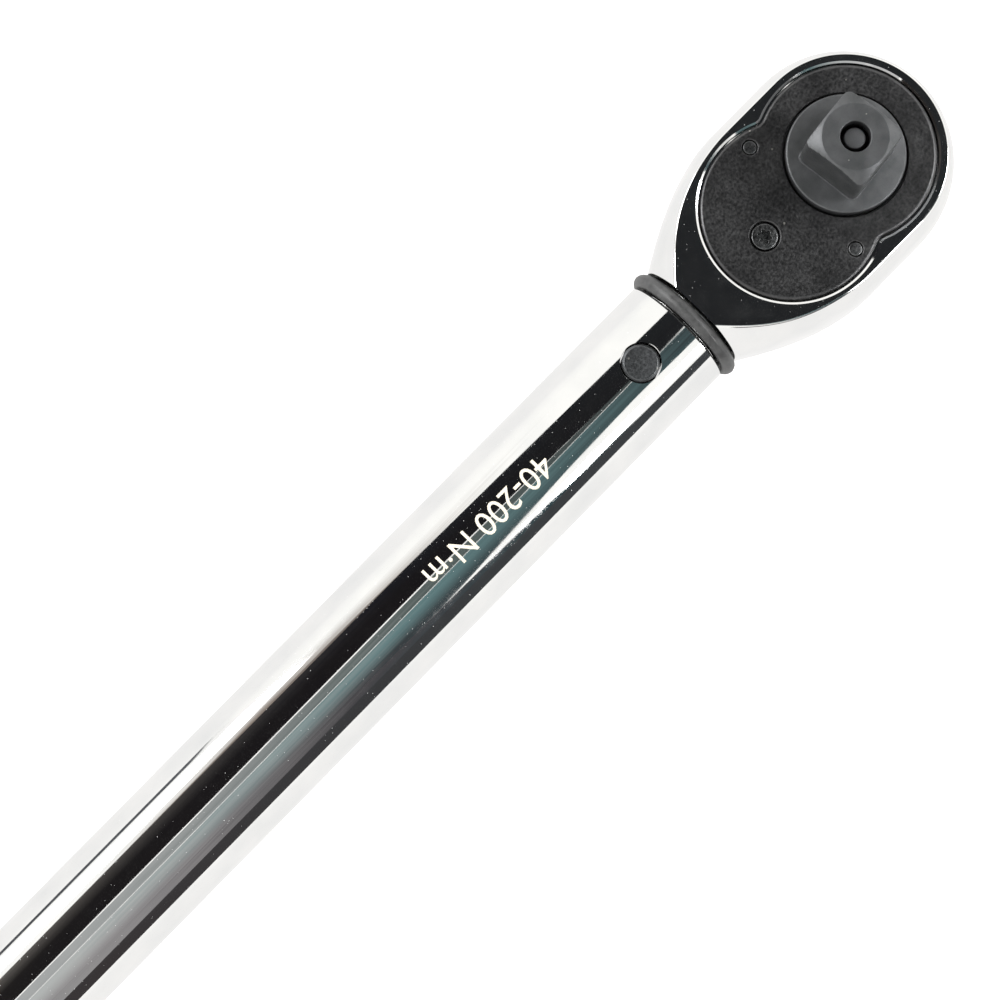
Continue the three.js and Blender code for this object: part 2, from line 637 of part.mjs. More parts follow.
// A ring under the gear, keyed to the lever, whose finger holds one pawl off the gear.
function selectorRing() {
  const outerR = GEAR_POCKET_R - FIT;
  const ring = turnedZ([
    [SELECTOR_BOTTOM, JOURNAL_R + FIT],
    [SELECTOR_BOTTOM, outerR],
    [SELECTOR_TOP, outerR],
    [SELECTOR_TOP, JOURNAL_R + FIT],
    [SELECTOR_BOTTOM, JOURNAL_R + FIT],
  ], 40);
  const first = Math.PI - FINGER_HALF_ANGLE;
  const last = Math.PI + FINGER_HALF_ANGLE;
  const finger = new THREE.Shape();
  finger.absarc(0, 0, outerR, first, last, false);
  finger.absarc(0, 0, outerR - FINGER_THICKNESS, last, first, true);
  const post = slab(finger, SELECTOR_BOTTOM, SELECTOR_TOP + FINGER_HEIGHT, 3);
  return turn(ring.add(post), LEVER_TURN);
}

// One pawl, drawn engaged for the left side: an arm from the pin's eye to a toothed tip behind the gear.
function pawl(side, lift) {
  const arm = new THREE.Vector2(0, -1).rotateAround(new THREE.Vector2(), -PAWL_ANGLE);
  const inward = new THREE.Vector2(-arm.y, arm.x);
  const at = (along, across) => arm.clone().multiplyScalar(along).addScaledVector(inward, across);
  const toothPitch = (2 * Math.PI * GEAR_R) / GEAR_TEETH;
  const shape = new THREE.Shape();
  const points = [at(0, -PAWL_OUTER), at(PAWL_LENGTH - 1, -PAWL_OUTER), at(PAWL_LENGTH, 0.2 - PAWL_OUTER)];
  for (let i = 0; i < PAWL_TEETH; i++) {
    const along = PAWL_LENGTH - i * toothPitch;
    points.push(at(along, PAWL_INNER + TOOTH_DEPTH * 0.8), at(along - toothPitch / 2, PAWL_INNER));
  }
  points.push(at(0, PAWL_INNER));
  shape.setFromPoints(points);
  const low = PAWL_FLOOR + FIT;
  const high = GEAR_TOP;
  let body = slab(shape, low, high).add(postZ(PAWL_EYE_R, 0, 0, low, high, 8));
  body = body.subtract(postZ(PAWL_PIN_R + FIT, 0, 0, low - CUT, high + CUT, 8));
  body = turn(body, -lift).translate([PAWL_PIN_X, PAWL_PIN_Y, 0]);
  return side > 0 ? body : body.mirror([0, 1, 0]);
}

// A bent strip in front of the screw boss, whose ends push on the pawls' backs.
function pawlSpring() {
  const bend = [[-2.4, 8.4], [-3.6, 4.4], [-4.4, 0], [-5.55, -4.2], [-3.7, -8.2]]; // x from the gear's rim
  const curve = new THREE.CatmullRomCurve3(bend.map(([x, y]) => new THREE.Vector3(x - GEAR_R, y, 0)));
  const points = curve.getPoints(16).map((p) => new THREE.Vector2(p.x, p.y));
  const back = points.map((p) => new THREE.Vector2(p.x - STRIP_THICKNESS, p.y));
  const shape = new THREE.Shape([...points, ...back.reverse()]);
  const low = PAWL_FLOOR + 5;
  return slab(shape, low, low + STRIP_HEIGHT);
}

// Neck joint

function neckORing() {
  const profile = [];
  for (let i = 0; i <= 10; i++) {
    const angle = (2 * Math.PI * i) / 10;
    const r = O_RING_SECTION / 2;
    profile.push([O_RING_X + r * Math.cos(angle), O_RING_MEAN_R + r * Math.sin(angle)]);
  }
  return turnedX(profile, 32);
}

function pivotPin() {
  const end = TUBE_R - 0.15;
  const flatR = PIVOT_R - PIVOT_CHAMFER;
  const pin = turnedZ([
    [-end, 0],
    [-end, flatR],
    [PIVOT_CHAMFER - end, PIVOT_R],
    [end - PIVOT_CHAMFER, PIVOT_R],
    [end, flatR],
    [end, 0],
  ], 24);
  return pin.translate([PIVOT_X, 0, 0]);
}

// Tube and what works inside it

function bodyTube() {
  const tube = turnedX([
    [TUBE_END_X, TUBE_BORE_R],
    [TUBE_END_X, TUBE_R - TUBE_CHAMFER],
    [TUBE_END_X + TUBE_CHAMFER, TUBE_R],
    [MOUTH_X - TUBE_CHAMFER, TUBE_R],
    [MOUTH_X, TUBE_R - TUBE_CHAMFER],
    [MOUTH_X, TUBE_BORE_R + TUBE_CHAMFER],
    [MOUTH_X - TUBE_CHAMFER, TUBE_BORE_R],
    [TUBE_END_X, TUBE_BORE_R],
  ], 40);
  const reach = TUBE_R + CUT;
  const pinHole = postY(NUT_PIN_R + PIN_FIT, NUT_PIN_X, 0, -reach, reach);
  const pivotHole = postZ(PIVOT_R + FIT, PIVOT_X, 0, -reach, reach, 12);
  return tube.subtract(pivotHole).subtract(pinHole);
}

// A short link with round ends between the head's tail and the plunger.
function tiltBlock() {
  const shape = new THREE.Shape();
  shape.absarc(BLOCK_FRONT_X, 0, BLOCK_R, -Math.PI / 2, Math.PI / 2, false);
  shape.absarc(BLOCK_REAR_X, 0, BLOCK_R, Math.PI / 2, 1.5 * Math.PI, false);
  return slab(shape, -BLOCK_HEIGHT / 2, BLOCK_HEIGHT / 2, 10);
}

function plunger() {
  const end = SPRING_FRONT_X - SPIGOT_LENGTH;
  return turnedX([
    [end, 0],
    [end, SPIGOT_R - 0.8],
    [end + 0.8, SPIGOT_R],
    [SPRING_FRONT_X, SPIGOT_R],
    [SPRING_FRONT_X, PLUNGER_R],
    [PLUNGER_FRONT_X - 0.5, PLUNGER_R],
    [PLUNGER_FRONT_X, PLUNGER_R - 0.5],
    [PLUNGER_FRONT_X, PLUNGER_DISH_R],
    [DISH_X, PLUNGER_DISH_R],
    [DISH_X, 0],
  ]);
}

function mainSpring() {
  const wireR = SPRING_WIRE / 2;
  const front = SPRING_FRONT_X - FIT - wireR;
  const rear = SEAT_X + FIT + wireR;
  return helix(SPRING_MEAN_R, wireR, rear, front, SPRING_COILS, 10, 'x');
}

function springSeat() {
  const end = SEAT_X + SPIGOT_LENGTH;
  const seat = turnedX([
    [SEAT_REAR_X, 0],
    [SEAT_REAR_X, PLUNGER_R],
    [SEAT_X, PLUNGER_R],
    [SEAT_X, SPIGOT_R],
    [end - 0.8, SPIGOT_R],
    [end, SPIGOT_R - 0.8],
    [end, 0],
  ]);
  return seat.subtract(ball(THRUST_BALL_R + FIT, THRUST_BALL_X, 0, 0));
}

function adjustingScrew() {
  const screw = turnedX([
    [SHANK_END_X, 0],
    [SHANK_END_X, SCREW_SHANK_R],
    [THREAD_END_X, SCREW_SHANK_R],
    [THREAD_END_X, SCREW_THREAD_R - 1],
    [THREAD_END_X + 1, SCREW_THREAD_R],
    [SCREW_TIP_X - 2, SCREW_THREAD_R],
    [SCREW_TIP_X, SCREW_THREAD_R - 2],
    [SCREW_TIP_X, 0],
  ], 24);
  const bore = boreX(SCREW_BORE_R, SHANK_END_X - CUT, PAD_X + LOCK_CONE_LENGTH);
  const padHole = postY(PAD_R + PIN_FIT, PAD_X, 0, 0, SCREW_THREAD_R + CUT, 12);
  const pinHole = postY(PLUG_PIN_R + PIN_FIT, PLUG_PIN_X, 0, -PLUG_R, PLUG_R, 12);
  const dimple = ball(THRUST_BALL_R + FIT, THRUST_BALL_X, 0, 0);
  return screw.subtract(bore).subtract(padHole).subtract(pinHole).subtract(dimple);
}

function screwNut() {
  const boreR = SCREW_THREAD_R + FIT;
  const nut = turnedX([
    [NUT_REAR_X, boreR],
    [NUT_REAR_X, PLUNGER_R],
    [NUT_FRONT_X, PLUNGER_R],
    [NUT_FRONT_X, boreR],
    [NUT_REAR_X, boreR],
  ]);
  const inner = boreR + 0.4;
  const leftHole = postY(NUT_PIN_R + PIN_FIT, NUT_PIN_X, 0, inner, TUBE_R);
  const rightHole = postY(NUT_PIN_R + PIN_FIT, NUT_PIN_X, 0, -TUBE_R, -inner);
  return nut.subtract(leftHole).subtract(rightHole);
}

function nutPin(side) {
  const inner = SCREW_THREAD_R + FIT + 0.6;
  const outer = TUBE_R - 0.2;
  const [low, high] = side > 0 ? [inner, outer] : [-outer, -inner];
  return postY(NUT_PIN_R, NUT_PIN_X, 0, low, high);
}

// Handle

function handleSleeve() {
  const front = HANDLE_FRONT_X;
  const thimbleEnd = front - THIMBLE_LENGTH;
  const ringSeatR = HANDLE_BORE_R + DRAG_RING_SECTION - FIT;
  const ringX = front - DRAG_RING_SET_BACK;
  return turnedX([
    [HANDLE_REAR_X, PLUG_R + FIT],
    [HANDLE_REAR_X, GRIP_R - 1.5],
    [HANDLE_REAR_X + 1.5, GRIP_R],
    [thimbleEnd - 5, GRIP_R],
    [thimbleEnd - 3.5, GRIP_R - 1.5],
    [thimbleEnd - 3.5, THIMBLE_R - 0.8],
    [thimbleEnd - 1, THIMBLE_R - 0.8],
    [thimbleEnd, THIMBLE_R],
    [front - BEVEL_LENGTH, THIMBLE_R],
    [front, THIMBLE_LIP_R],
    [front, HANDLE_BORE_R],
    [ringX + DRAG_RING_SECTION / 2 + 0.1, HANDLE_BORE_R],
    [ringX + DRAG_RING_SECTION / 2 + 0.1, ringSeatR],
    [ringX - DRAG_RING_SECTION / 2 - 0.1, ringSeatR],
    [ringX - DRAG_RING_SECTION / 2 - 0.1, HANDLE_BORE_R],
    [PLUG_FRONT_X + FIT, HANDLE_BORE_R],
    [PLUG_FRONT_X + FIT, PLUG_R + FIT],
    [HANDLE_REAR_X, PLUG_R + FIT],
  ], 40);
}

// A soft ring in the handle's mouth that stops it from turning by itself.
function dragRing() {
  const x = HANDLE_FRONT_X - DRAG_RING_SET_BACK;
  const inner = TUBE_R + 0.1;
  const outer = HANDLE_BORE_R + DRAG_RING_SECTION - FIT - 0.1;
  const half = DRAG_RING_SECTION / 2 - 0.1;
  return turnedX([
    [x - half, inner],
    [x - half, outer],
    [x + half, outer],
    [x + half, inner],
    [x - half, inner],
  ], 40);
}

function handlePlug() {
  const rear = PLUG_FRONT_X - PLUG_LENGTH;
  const shankBoreR = SCREW_SHANK_R + FIT;
  const stemBoreEnd = SHANK_END_X - FIT;
  const plug = turnedX([
    [rear, KNOB_STEM_R + FIT],
    [rear, PLUG_R - 0.5],
    [rear + 0.5, PLUG_R],
    [PLUG_FRONT_X, PLUG_R],
    [PLUG_FRONT_X, shankBoreR],
    [stemBoreEnd, shankBoreR],
    [stemBoreEnd, KNOB_STEM_R + FIT],
    [rear, KNOB_STEM_R + FIT],
  ]);
  return plug.subtract(postY(PLUG_PIN_R + PIN_FIT, PLUG_PIN_X, 0, -PLUG_R - CUT, PLUG_R + CUT, 12));
}

// Two half pins join the plug to the screw and leave the lock rod's way free.
function plugPin(side) {
  const inner = SCREW_BORE_R + 0.5;
  const outer = PLUG_R - 0.3;
  const [low, high] = side > 0 ? [inner, outer] : [-outer, -inner];
  return postY(PLUG_PIN_R, PLUG_PIN_X, 0, low, high, 12);
}

function lockRod() {
  return turnedX([
    [LOCK_END_X, 0],
    [LOCK_END_X, LOCK_ROD_R],
    [LOCK_TIP_X - LOCK_CONE_LENGTH, LOCK_ROD_R],
    [LOCK_TIP_X, LOCK_CONE_TIP_R],
    [LOCK_TIP_X, 0],
  ], 16);
}

function lockPad() {
  return postY(PAD_R, PAD_X, 0, LOCK_ROD_R + 0.05, SCREW_THREAD_R - 0.1, 12);
}

function lockKnob() {
  const stemX = KNOB_FRONT_X + KNOB_STEM_LENGTH;
  const flutes = 20;
  const knob = turnedX([
    [KNOB_END_X, 0],
    [KNOB_END_X, KNOB_R - 2],
    [KNOB_END_X + 2, KNOB_R],
    [KNOB_FRONT_X - 1.2, KNOB_R],
    [KNOB_FRONT_X, KNOB_R - 1.2],
    [KNOB_FRONT_X, KNOB_STEM_R],
    [stemX, KNOB_STEM_R],
    [stemX, 0],
  ], 2 * flutes);
  return knob.subtract(boreX(LOCK_ROD_R + FIT, LOCK_END_X - FIT, stemX + CUT));
}

// Finishes
const finish = (color, roughness, metalness = 1) => ({ color, roughness, metalness });
const CHROME = finish(0xe4e6e8, 0.08);
const BLACK_OXIDE = finish(0x2a2a2c, 0.45);
const PHOSPHATE = finish(0x55575a, 0.55);
const STEEL = finish(0x9b9da0, 0.35);
const SPRING_STEEL = finish(0x6b6d70, 0.4);
const BRASS = finish(0xb08d4a, 0.35);
const RUBBER = finish(0x232323, 0.7, 0);

const wrench = new THREE.Group();

function place(name, piece, look) {
  const { vertProperties, triVerts, numProp } = piece.getMesh();
  const positions = new Float32Array((vertProperties.length / numProp) * 3);
  for (let i = 0; i < positions.length / 3; i++) {
    positions.set(vertProperties.subarray(i * numProp, i * numProp + 3), 3 * i);
  }
  const geometry = new THREE.BufferGeometry();
  geometry.setAttribute('position', new THREE.BufferAttribute(positions, 3));
  geometry.setIndex(new THREE.BufferAttribute(new Uint32Array(triVerts), 1));
  geometry.computeVertexNormals();
  const mesh = new THREE.Mesh(geometry, new THREE.MeshStandardMaterial(look));
  mesh.name = name;
  wrench.add(mesh);
}

place('ratchet_head', ratchetHead(), CHROME);
place('cover_plate', coverPlate(), BLACK_OXIDE);
place('cover_screw', coverScrew(), BLACK_OXIDE);
place('pawl_pin_left', pawlPin(1), PHOSPHATE);
place('pawl_pin_right', pawlPin(-1), PHOSPHATE);
place('drive_gear', driveGear(), PHOSPHATE);
place('release_button', releaseButton(), PHOSPHATE);
place('release_spring', releaseSpring(), SPRING_STEEL);
place('detent_ball', detentBall(), STEEL);
place('reversing_lever', reversingLever(), BLACK_OXIDE);
place('selector_ring', selectorRing(), STEEL);
place('pawl_left', pawl(1, 0), PHOSPHATE);
place('pawl_right', pawl(-1, PAWL_LIFT), PHOSPHATE);
place('pawl_spring', pawlSpring(), SPRING_STEEL);
place('neck_o_ring', neckORing(), RUBBER);
place('pivot_pin', pivotPin(), BLACK_OXIDE);
place('body_tube', bodyTube(), CHROME);
place('tilt_block', tiltBlock(), STEEL);
place('plunger', plunger(), STEEL);
place('main_spring', mainSpring(), SPRING_STEEL);
place('spring_seat', springSeat(), STEEL);
place('thrust_ball', ball(THRUST_BALL_R, THRUST_BALL_X, 0, 0), STEEL);
place('adjusting_screw', adjustingScrew(), STEEL);
place('screw_nut', screwNut(), BRASS);
place('nut_pin_left', nutPin(1), STEEL);
place('nut_pin_right', nutPin(-1), STEEL);
place('handle_sleeve', handleSleeve(), CHROME);
place('handle_plug', handlePlug(), STEEL);
place('plug_pin_left', plugPin(1), STEEL);
place('plug_pin_right', plugPin(-1), STEEL);
place('drag_ring', dragRing(), RUBBER);
place('lock_rod', lockRod(), STEEL);
place('lock_pad', lockPad(), BRASS);
place('lock_knob', lockKnob(), BLACK_OXIDE);

// The origin is the middle of the wrench's length and width, on the surface that it lies on.
const noseX = HEAD_CENTRE_X + HEAD_R;
wrench.position.set(-(noseX + KNOB_END_X) / 2, 0, Math.max(GRIP_R, -LEVER_BOTTOM));

export default wrench;
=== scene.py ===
import json
import math

import bmesh
import bpy
from mathutils import Matrix, Vector


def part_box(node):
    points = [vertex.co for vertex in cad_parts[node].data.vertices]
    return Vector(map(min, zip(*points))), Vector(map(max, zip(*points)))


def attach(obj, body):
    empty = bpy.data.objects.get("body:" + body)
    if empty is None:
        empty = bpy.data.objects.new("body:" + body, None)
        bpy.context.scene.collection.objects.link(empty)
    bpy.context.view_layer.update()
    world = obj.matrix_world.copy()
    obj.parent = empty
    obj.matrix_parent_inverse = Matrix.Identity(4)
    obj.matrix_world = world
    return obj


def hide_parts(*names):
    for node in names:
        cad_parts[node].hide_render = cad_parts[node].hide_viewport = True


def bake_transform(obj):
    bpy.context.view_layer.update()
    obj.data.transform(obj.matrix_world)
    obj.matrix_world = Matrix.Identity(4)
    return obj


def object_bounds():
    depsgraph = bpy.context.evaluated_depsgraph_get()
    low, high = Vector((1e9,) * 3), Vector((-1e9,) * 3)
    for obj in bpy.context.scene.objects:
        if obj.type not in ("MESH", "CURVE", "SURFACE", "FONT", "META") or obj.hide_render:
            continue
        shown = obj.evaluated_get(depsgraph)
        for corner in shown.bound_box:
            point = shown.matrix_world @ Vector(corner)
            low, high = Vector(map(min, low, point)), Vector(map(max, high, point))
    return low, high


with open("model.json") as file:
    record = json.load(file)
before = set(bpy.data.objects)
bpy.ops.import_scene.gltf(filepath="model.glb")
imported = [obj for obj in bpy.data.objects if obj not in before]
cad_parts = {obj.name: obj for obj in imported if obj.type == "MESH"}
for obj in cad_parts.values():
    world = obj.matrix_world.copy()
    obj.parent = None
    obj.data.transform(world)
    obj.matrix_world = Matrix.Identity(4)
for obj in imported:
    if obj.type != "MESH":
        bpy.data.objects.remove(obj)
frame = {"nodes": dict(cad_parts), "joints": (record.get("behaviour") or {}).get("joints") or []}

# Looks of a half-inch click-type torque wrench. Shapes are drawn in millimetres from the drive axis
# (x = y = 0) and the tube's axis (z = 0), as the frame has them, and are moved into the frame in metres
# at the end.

CAD_BOUNDS = [list(corner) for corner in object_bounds()]
MM = 0.001
JOINTS = {joint["name"]: joint for joint in frame["joints"]}
DRIVE_AXIS = Vector(JOINTS["drive_turn"]["pos_m"])


def low(node):
    """A CAD node's lowest corner, in millimetres from the drive axis."""
    return (Vector(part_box(node)[0]) - DRIVE_AXIS) / MM


def high(node):
    return (Vector(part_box(node)[1]) - DRIVE_AXIS) / MM


# Sizes in millimetres, as in the frame

CUT = 1.0
FIT = 0.3
HEAD_R = 20.45
HEAD_CENTRE_X = high("ratchet_head").x - HEAD_R
FLAT_Z = high("ratchet_head").z
SIDE_INSET = 2.15
NECK_INSET = 6.0
FLANK_START_X = -12.0
SHOULDER_X = -38.7
SHOULDER_HALF_WIDTH = 11.0
EDGE_BREAK = 0.32
COVER_TOP = high("cover_plate").z
COVER_BOTTOM = low("cover_plate").z
COVER_FRONT_R, COVER_FRONT_X = 16.3, 0.5
COVER_REAR_R, COVER_REAR_X = 16.5, -14.0
COVER_NOTCH_R = 2.5
FLANGE_R = 10.9
FLANGE_GAP = 0.5
FLANGE_TOP = COVER_TOP + 1.8
GEAR_R = 12.6
GEAR_TEETH = 45
TOOTH_DEPTH = 0.9
GEAR_TOP = COVER_BOTTOM - FIT
FINGER_HEIGHT = 5.6
GEAR_BOTTOM = high("selector_ring").z - FINGER_HEIGHT + FIT
JOURNAL_R = 8.6
SQUARE = 12.7
SQUARE_TOP = high("drive_gear").z
SQUARE_TURN = math.radians(6)
SQUARE_CHAMFER_R = 6.0
SQUARE_CHAMFER_SLOPE = 0.62
SQUARE_CORNER_R = 1.25
DRIVE_BORE_R = 2.75
BUTTON_BORE_R = 4.5
BUTTON_R = 4.2
BUTTON_HEIGHT = 4.3
ROD_R = 2.15
ROD_NECK_R = 1.15
ROD_TIP_R = 1.95
BALL_R = 2.35
BALL_Z = SQUARE_TOP - 6.0
SCREW_X = (low("cover_screw").x + high("cover_screw").x) / 2
PIN_X = (low("pawl_pin_left").x + high("pawl_pin_left").x) / 2
PIN_Y = (low("pawl_pin_left").y + high("pawl_pin_left").y) / 2
PIN_R = 1.3
SCREW_R = 1.5
SCREW_HEAD_R = 2.45
SCREW_BOSS_R = 3.2
POCKET_R = 14.2
PAWL_ROOM_R = 14.6
PAWL_ROOM_REAR_X = -20.6
FLOOR = -9.0
PAWL_FLOOR = -5.0
TAIL_HALF_WIDTH = 4.5
TAIL_HALF_HEIGHT = 5.0
LEVER_BOTTOM = low("reversing_lever").z
LEVER_R = 13.5
LEVER_HUB_R = 10.2
LEVER_TIP_X = -24.0
LEVER_TAB_HALF_WIDTH = 4.0
LEVER_TURN = math.radians(14)
NECK_R = 8.5
NECK_END_X = -62.0
TAIL_END_X = low("ratchet_head").x
PIVOT_X = (low("pivot_pin").x + high("pivot_pin").x) / 2
PIVOT_R = 3.45
TUBE_R = high("body_tube").z
TUBE_BORE_R = TUBE_R - 2.0
MOUTH_X = high("body_tube").x
TUBE_END_X = low("body_tube").x
O_RING_X = (low("neck_o_ring").x + high("neck_o_ring").x) / 2
O_RING_SECTION_R = (high("neck_o_ring").x - low("neck_o_ring").x) / 2
O_RING_MEAN_R = high("neck_o_ring").z - O_RING_SECTION_R
HANDLE_FRONT_X = high("handle_sleeve").x
HANDLE_REAR_X = low("handle_sleeve").x
GRIP_R = high("handle_sleeve").z
THIMBLE_R = 14.6
THIMBLE_LIP_R = 12.6
BEVEL_LENGTH = 9.6
THIMBLE_END_X = HANDLE_FRONT_X - 22.0
PLUG_R = 10.1
KNOB_R = high("lock_knob").z
KNOB_FRONT_X = HANDLE_REAR_X - 1.0
KNOB_END_X = low("lock_knob").x


# Materials

def colour(hex_code):
    """An sRGB hex value as linear red, green, blue and alpha."""
    parts = [int(hex_code[i:i + 2], 16) / 255 for i in (1, 3, 5)]
    return [p / 12.92 if p <= 0.04045 else ((p + 0.055) / 1.055) ** 2.4 for p in parts] + [1.0]


def per_mm(size):
    """Texture scale, in metres of object space, for a feature this many millimetres across."""
    return 1.0 / (size * MM)


def add(tree, kind, settings, links=()):
    """One node, with its settings by attribute or input name and its links as (input, source socket)."""
    node = tree.nodes.new(kind)
    for key, value in settings.items():
        if isinstance(key, int) or key in node.inputs:
            node.inputs[key].default_value = value
        else:
            setattr(node, key, value)
    for key, source in links:
        tree.links.new(source, node.inputs[key])
    return node


def ramp(tree, source, stops):
    """A colour ramp through (place, grey or colour) stops."""
    node = add(tree, "ShaderNodeValToRGB", {}, [(0, source)])
    elements = node.color_ramp.elements
    while len(elements) < len(stops):
        elements.new(0.5)
    for element, (place, value) in zip(elements, stops):
        element.position = place
        element.color = value if isinstance(value, list) else [value] * 3 + [1.0]
    return node.outputs["Color"]


def start(name, metallic=1.0, **settings):
    """A material with its shader, and object coordinates to hang its textures on."""
    material = bpy.data.materials.new(name)
    material.use_nodes = True
    tree = material.node_tree
    tree.nodes.clear()
    shader = add(tree, "ShaderNodeBsdfPrincipled", {"Metallic": metallic, **settings})
    add(tree, "ShaderNodeOutputMaterial", {}, [("Surface", shader.outputs[0])])
    place = add(tree, "ShaderNodeTexCoord", {}).outputs["Object"]
    return material, tree, shader, place


def stretched(tree, place, along):
    """Object coordinates stretched along one axis, for tool marks that run that way."""
    scale = [0.04 if axis == along else 1.0 for axis in "XYZ"]
    return add(tree, "ShaderNodeMapping", {"Scale": scale}, [("Vector", place)]).outputs[0]


def noise(tree, place, size, detail=3.0, rough=0.5):
    settings = {"Scale": per_mm(size), "Detail": detail, "Roughness": rough}
    return add(tree, "ShaderNodeTexNoise", settings, [("Vector", place)]).outputs["Fac"]


def bump(tree, shader, height, depth, edge=0.0):
    """Relief of so many millimetres, on edges softened by so many millimetres."""
    links = [("Height", height)]
    if edge:
        soft = add(tree, "ShaderNodeBevel", {"samples": 4, "Radius": edge * MM})
        links.append(("Normal", soft.outputs[0]))
    node = add(tree, "ShaderNodeBump", {"Strength": 1.0, "Distance": depth * MM}, links)
    tree.links.new(node.outputs[0], shader.inputs["Normal"])


def paint(tree, shader, tone, gloss):
    """Links a finish's colour and its roughness to its shader."""
    tree.links.new(tone, shader.inputs["Base Color"])
    tree.links.new(gloss, shader.inputs["Roughness"])


def mixed(tree, factor, first, second):
    """Two colours mixed by a factor, each a socket or a fixed colour."""
    node = add(tree, "ShaderNodeMix", {"data_type": "RGBA"}, [(0, factor)])
    for key, value in ((6, first), (7, second)):
        if isinstance(value, list):
            node.inputs[key].default_value = value
        else:
            tree.links.new(value, node.inputs[key])
    return node.outputs[2]


def specks(tree, place, spacing, size):
    """Small scattered marks: 1 on a mark and 0 elsewhere."""
    cells = add(tree, "ShaderNodeTexVoronoi", {"Scale": per_mm(spacing)}, [("Vector", place)])
    dots = ramp(tree, cells.outputs["Distance"], [(0.0, 1.0), (size, 1.0), (size * 1.3, 0.0)])
    chosen = ramp(tree, cells.outputs["Color"], [(0.0, 0.0), (0.62, 0.0), (0.64, 1.0)])
    return add(tree, "ShaderNodeMath", {"operation": "MULTIPLY"}, [(0, dots), (1, chosen)]).outputs[0]


def nickel_chrome(name, haze=0.045, hex_code="#F0F0EF", along=None):
    """Bright nickel-chrome plate on polished steel: a clear mirror, with faint haze and polishing lines."""
    material, tree, shader, place = start(name)
    cloud = noise(tree, place, 9.0)
    handled = noise(tree, place, 2.2, detail=5.0)
    smears = add(tree, "ShaderNodeMath", {"operation": "MULTIPLY"}, [(0, cloud), (1, handled)]).outputs[0]
    smooth = ramp(tree, smears, [(0.1, haze * 0.5), (0.5, haze * 1.8)])
    pits = specks(tree, place, 0.7, 0.075)
    tint = ramp(tree, cloud, [(0.3, colour(hex_code)), (0.75, colour("#E6E7E7"))])
    paint(tree, shader, tint, mixed(tree, pits, smooth, colour("#D0D0D0")))
    lines = noise(tree, stretched(tree, place, along) if along else place, 0.35, detail=4.0)
    grain = noise(tree, place, 0.3, detail=2.0)
    relief = add(tree, "ShaderNodeMath", {"operation": "MULTIPLY_ADD", 1: 0.6}, [(0, grain), (2, lines)])
    bump(tree, shader, relief.outputs[0], 0.00045)
    return material


def black_oxide(name, base="#4A4A4B", rubbed="#686869", rough=0.38, grain=0.5):
    """Black oxide on ground steel: a thin satin conversion coat, rubbed lighter in scattered patches and
    specks.
    """
    material, tree, shader, place = start(name)
    cloud = noise(tree, place, 6.0, detail=4.0)
    fine = noise(tree, place, grain, detail=6.0, rough=0.7)
    worn = specks(tree, place, 2.6, 0.07)
    patches = add(tree, "ShaderNodeMath", {"operation": "MULTIPLY"}, [(0, cloud), (1, fine)]).outputs[0]
    both = mixed(tree, ramp(tree, patches, [(0.16, 0.0), (0.42, 1.0)]), colour(base), colour(rubbed))
    gloss = ramp(tree, fine, [(0.35, rough - 0.1), (0.65, rough + 0.1)])
    paint(tree, shader, mixed(tree, worn, both, colour("#A9A7A2")), gloss)
    bump(tree, shader, fine, 0.014, edge=0.12)
    return material


def phosphate(name, base="#585A5B", rubbed="#727375", rough=0.5):
    """Manganese phosphate on machined steel: a fine crystalline grey coat that hides the tool marks."""
    material, tree, shader, place = start(name)
    crystal = noise(tree, place, 0.22, detail=6.0, rough=0.8)
    cloud = noise(tree, place, 4.5, detail=4.0)
    both = mixed(tree, ramp(tree, cloud, [(0.3, 0.0), (0.72, 1.0)]), colour(base), colour(rubbed))
    worn = specks(tree, place, 1.9, 0.06)
    gloss = ramp(tree, crystal, [(0.3, rough - 0.08), (0.7, rough + 0.12)])
    paint(tree, shader, mixed(tree, worn, both, colour("#9C9B98")), gloss)
    bump(tree, shader, crystal, 0.012, edge=0.18)
    return material


def turned_steel(name, base="#A9ABAE", rough=0.26, along="X"):
    """Turned or ground steel with fine tool marks."""
    material, tree, shader, place = start(name)
    lines = noise(tree, stretched(tree, place, along), 0.25, detail=5.0)
    stain = noise(tree, place, 5.0)
    tone = ramp(tree, stain, [(0.3, colour(base)), (0.8, colour("#8C8E91"))])
    paint(tree, shader, tone, ramp(tree, lines, [(0.3, rough - 0.08), (0.7, rough + 0.1)]))
    bump(tree, shader, lines, 0.004)
    return material


def spring_wire(name):
    """Oil-tempered spring wire: brown-black scale with drawn lines."""
    material, tree, shader, place = start(name)
    scale = noise(tree, place, 1.2, detail=5.0)
    tone = ramp(tree, scale, [(0.3, colour("#4A4846")), (0.7, colour("#6B6967"))])
    paint(tree, shader, tone, ramp(tree, scale, [(0.3, 0.3), (0.7, 0.48)]))
    bump(tree, shader, scale, 0.008)
    return material


def turned_brass(name):
    """Free-cutting brass, turned and slightly tarnished."""
    material, tree, shader, place = start(name)
    tarnish = noise(tree, place, 3.0, detail=5.0)
    tone = ramp(tree, tarnish, [(0.3, colour("#C9A45C")), (0.75, colour("#8F6E38"))])
    paint(tree, shader, tone, ramp(tree, tarnish, [(0.3, 0.22), (0.75, 0.42)]))
    bump(tree, shader, noise(tree, place, 0.2, detail=5.0), 0.004)
    return material


def nitrile_rubber(name):
    """Moulded nitrile rubber: matt black with a slight bloom and dust."""
    material, tree, shader, place = start(name, metallic=0.0, IOR=1.52)
    bloom = noise(tree, place, 2.4, detail=6.0, rough=0.65)
    grain = noise(tree, place, 0.12, detail=4.0)
    tone = ramp(tree, bloom, [(0.3, colour("#262627")), (0.72, colour("#4B4C4C"))])
    paint(tree, shader, tone, ramp(tree, bloom, [(0.3, 0.36), (0.75, 0.55)]))
    bump(tree, shader, grain, 0.01)
    return material


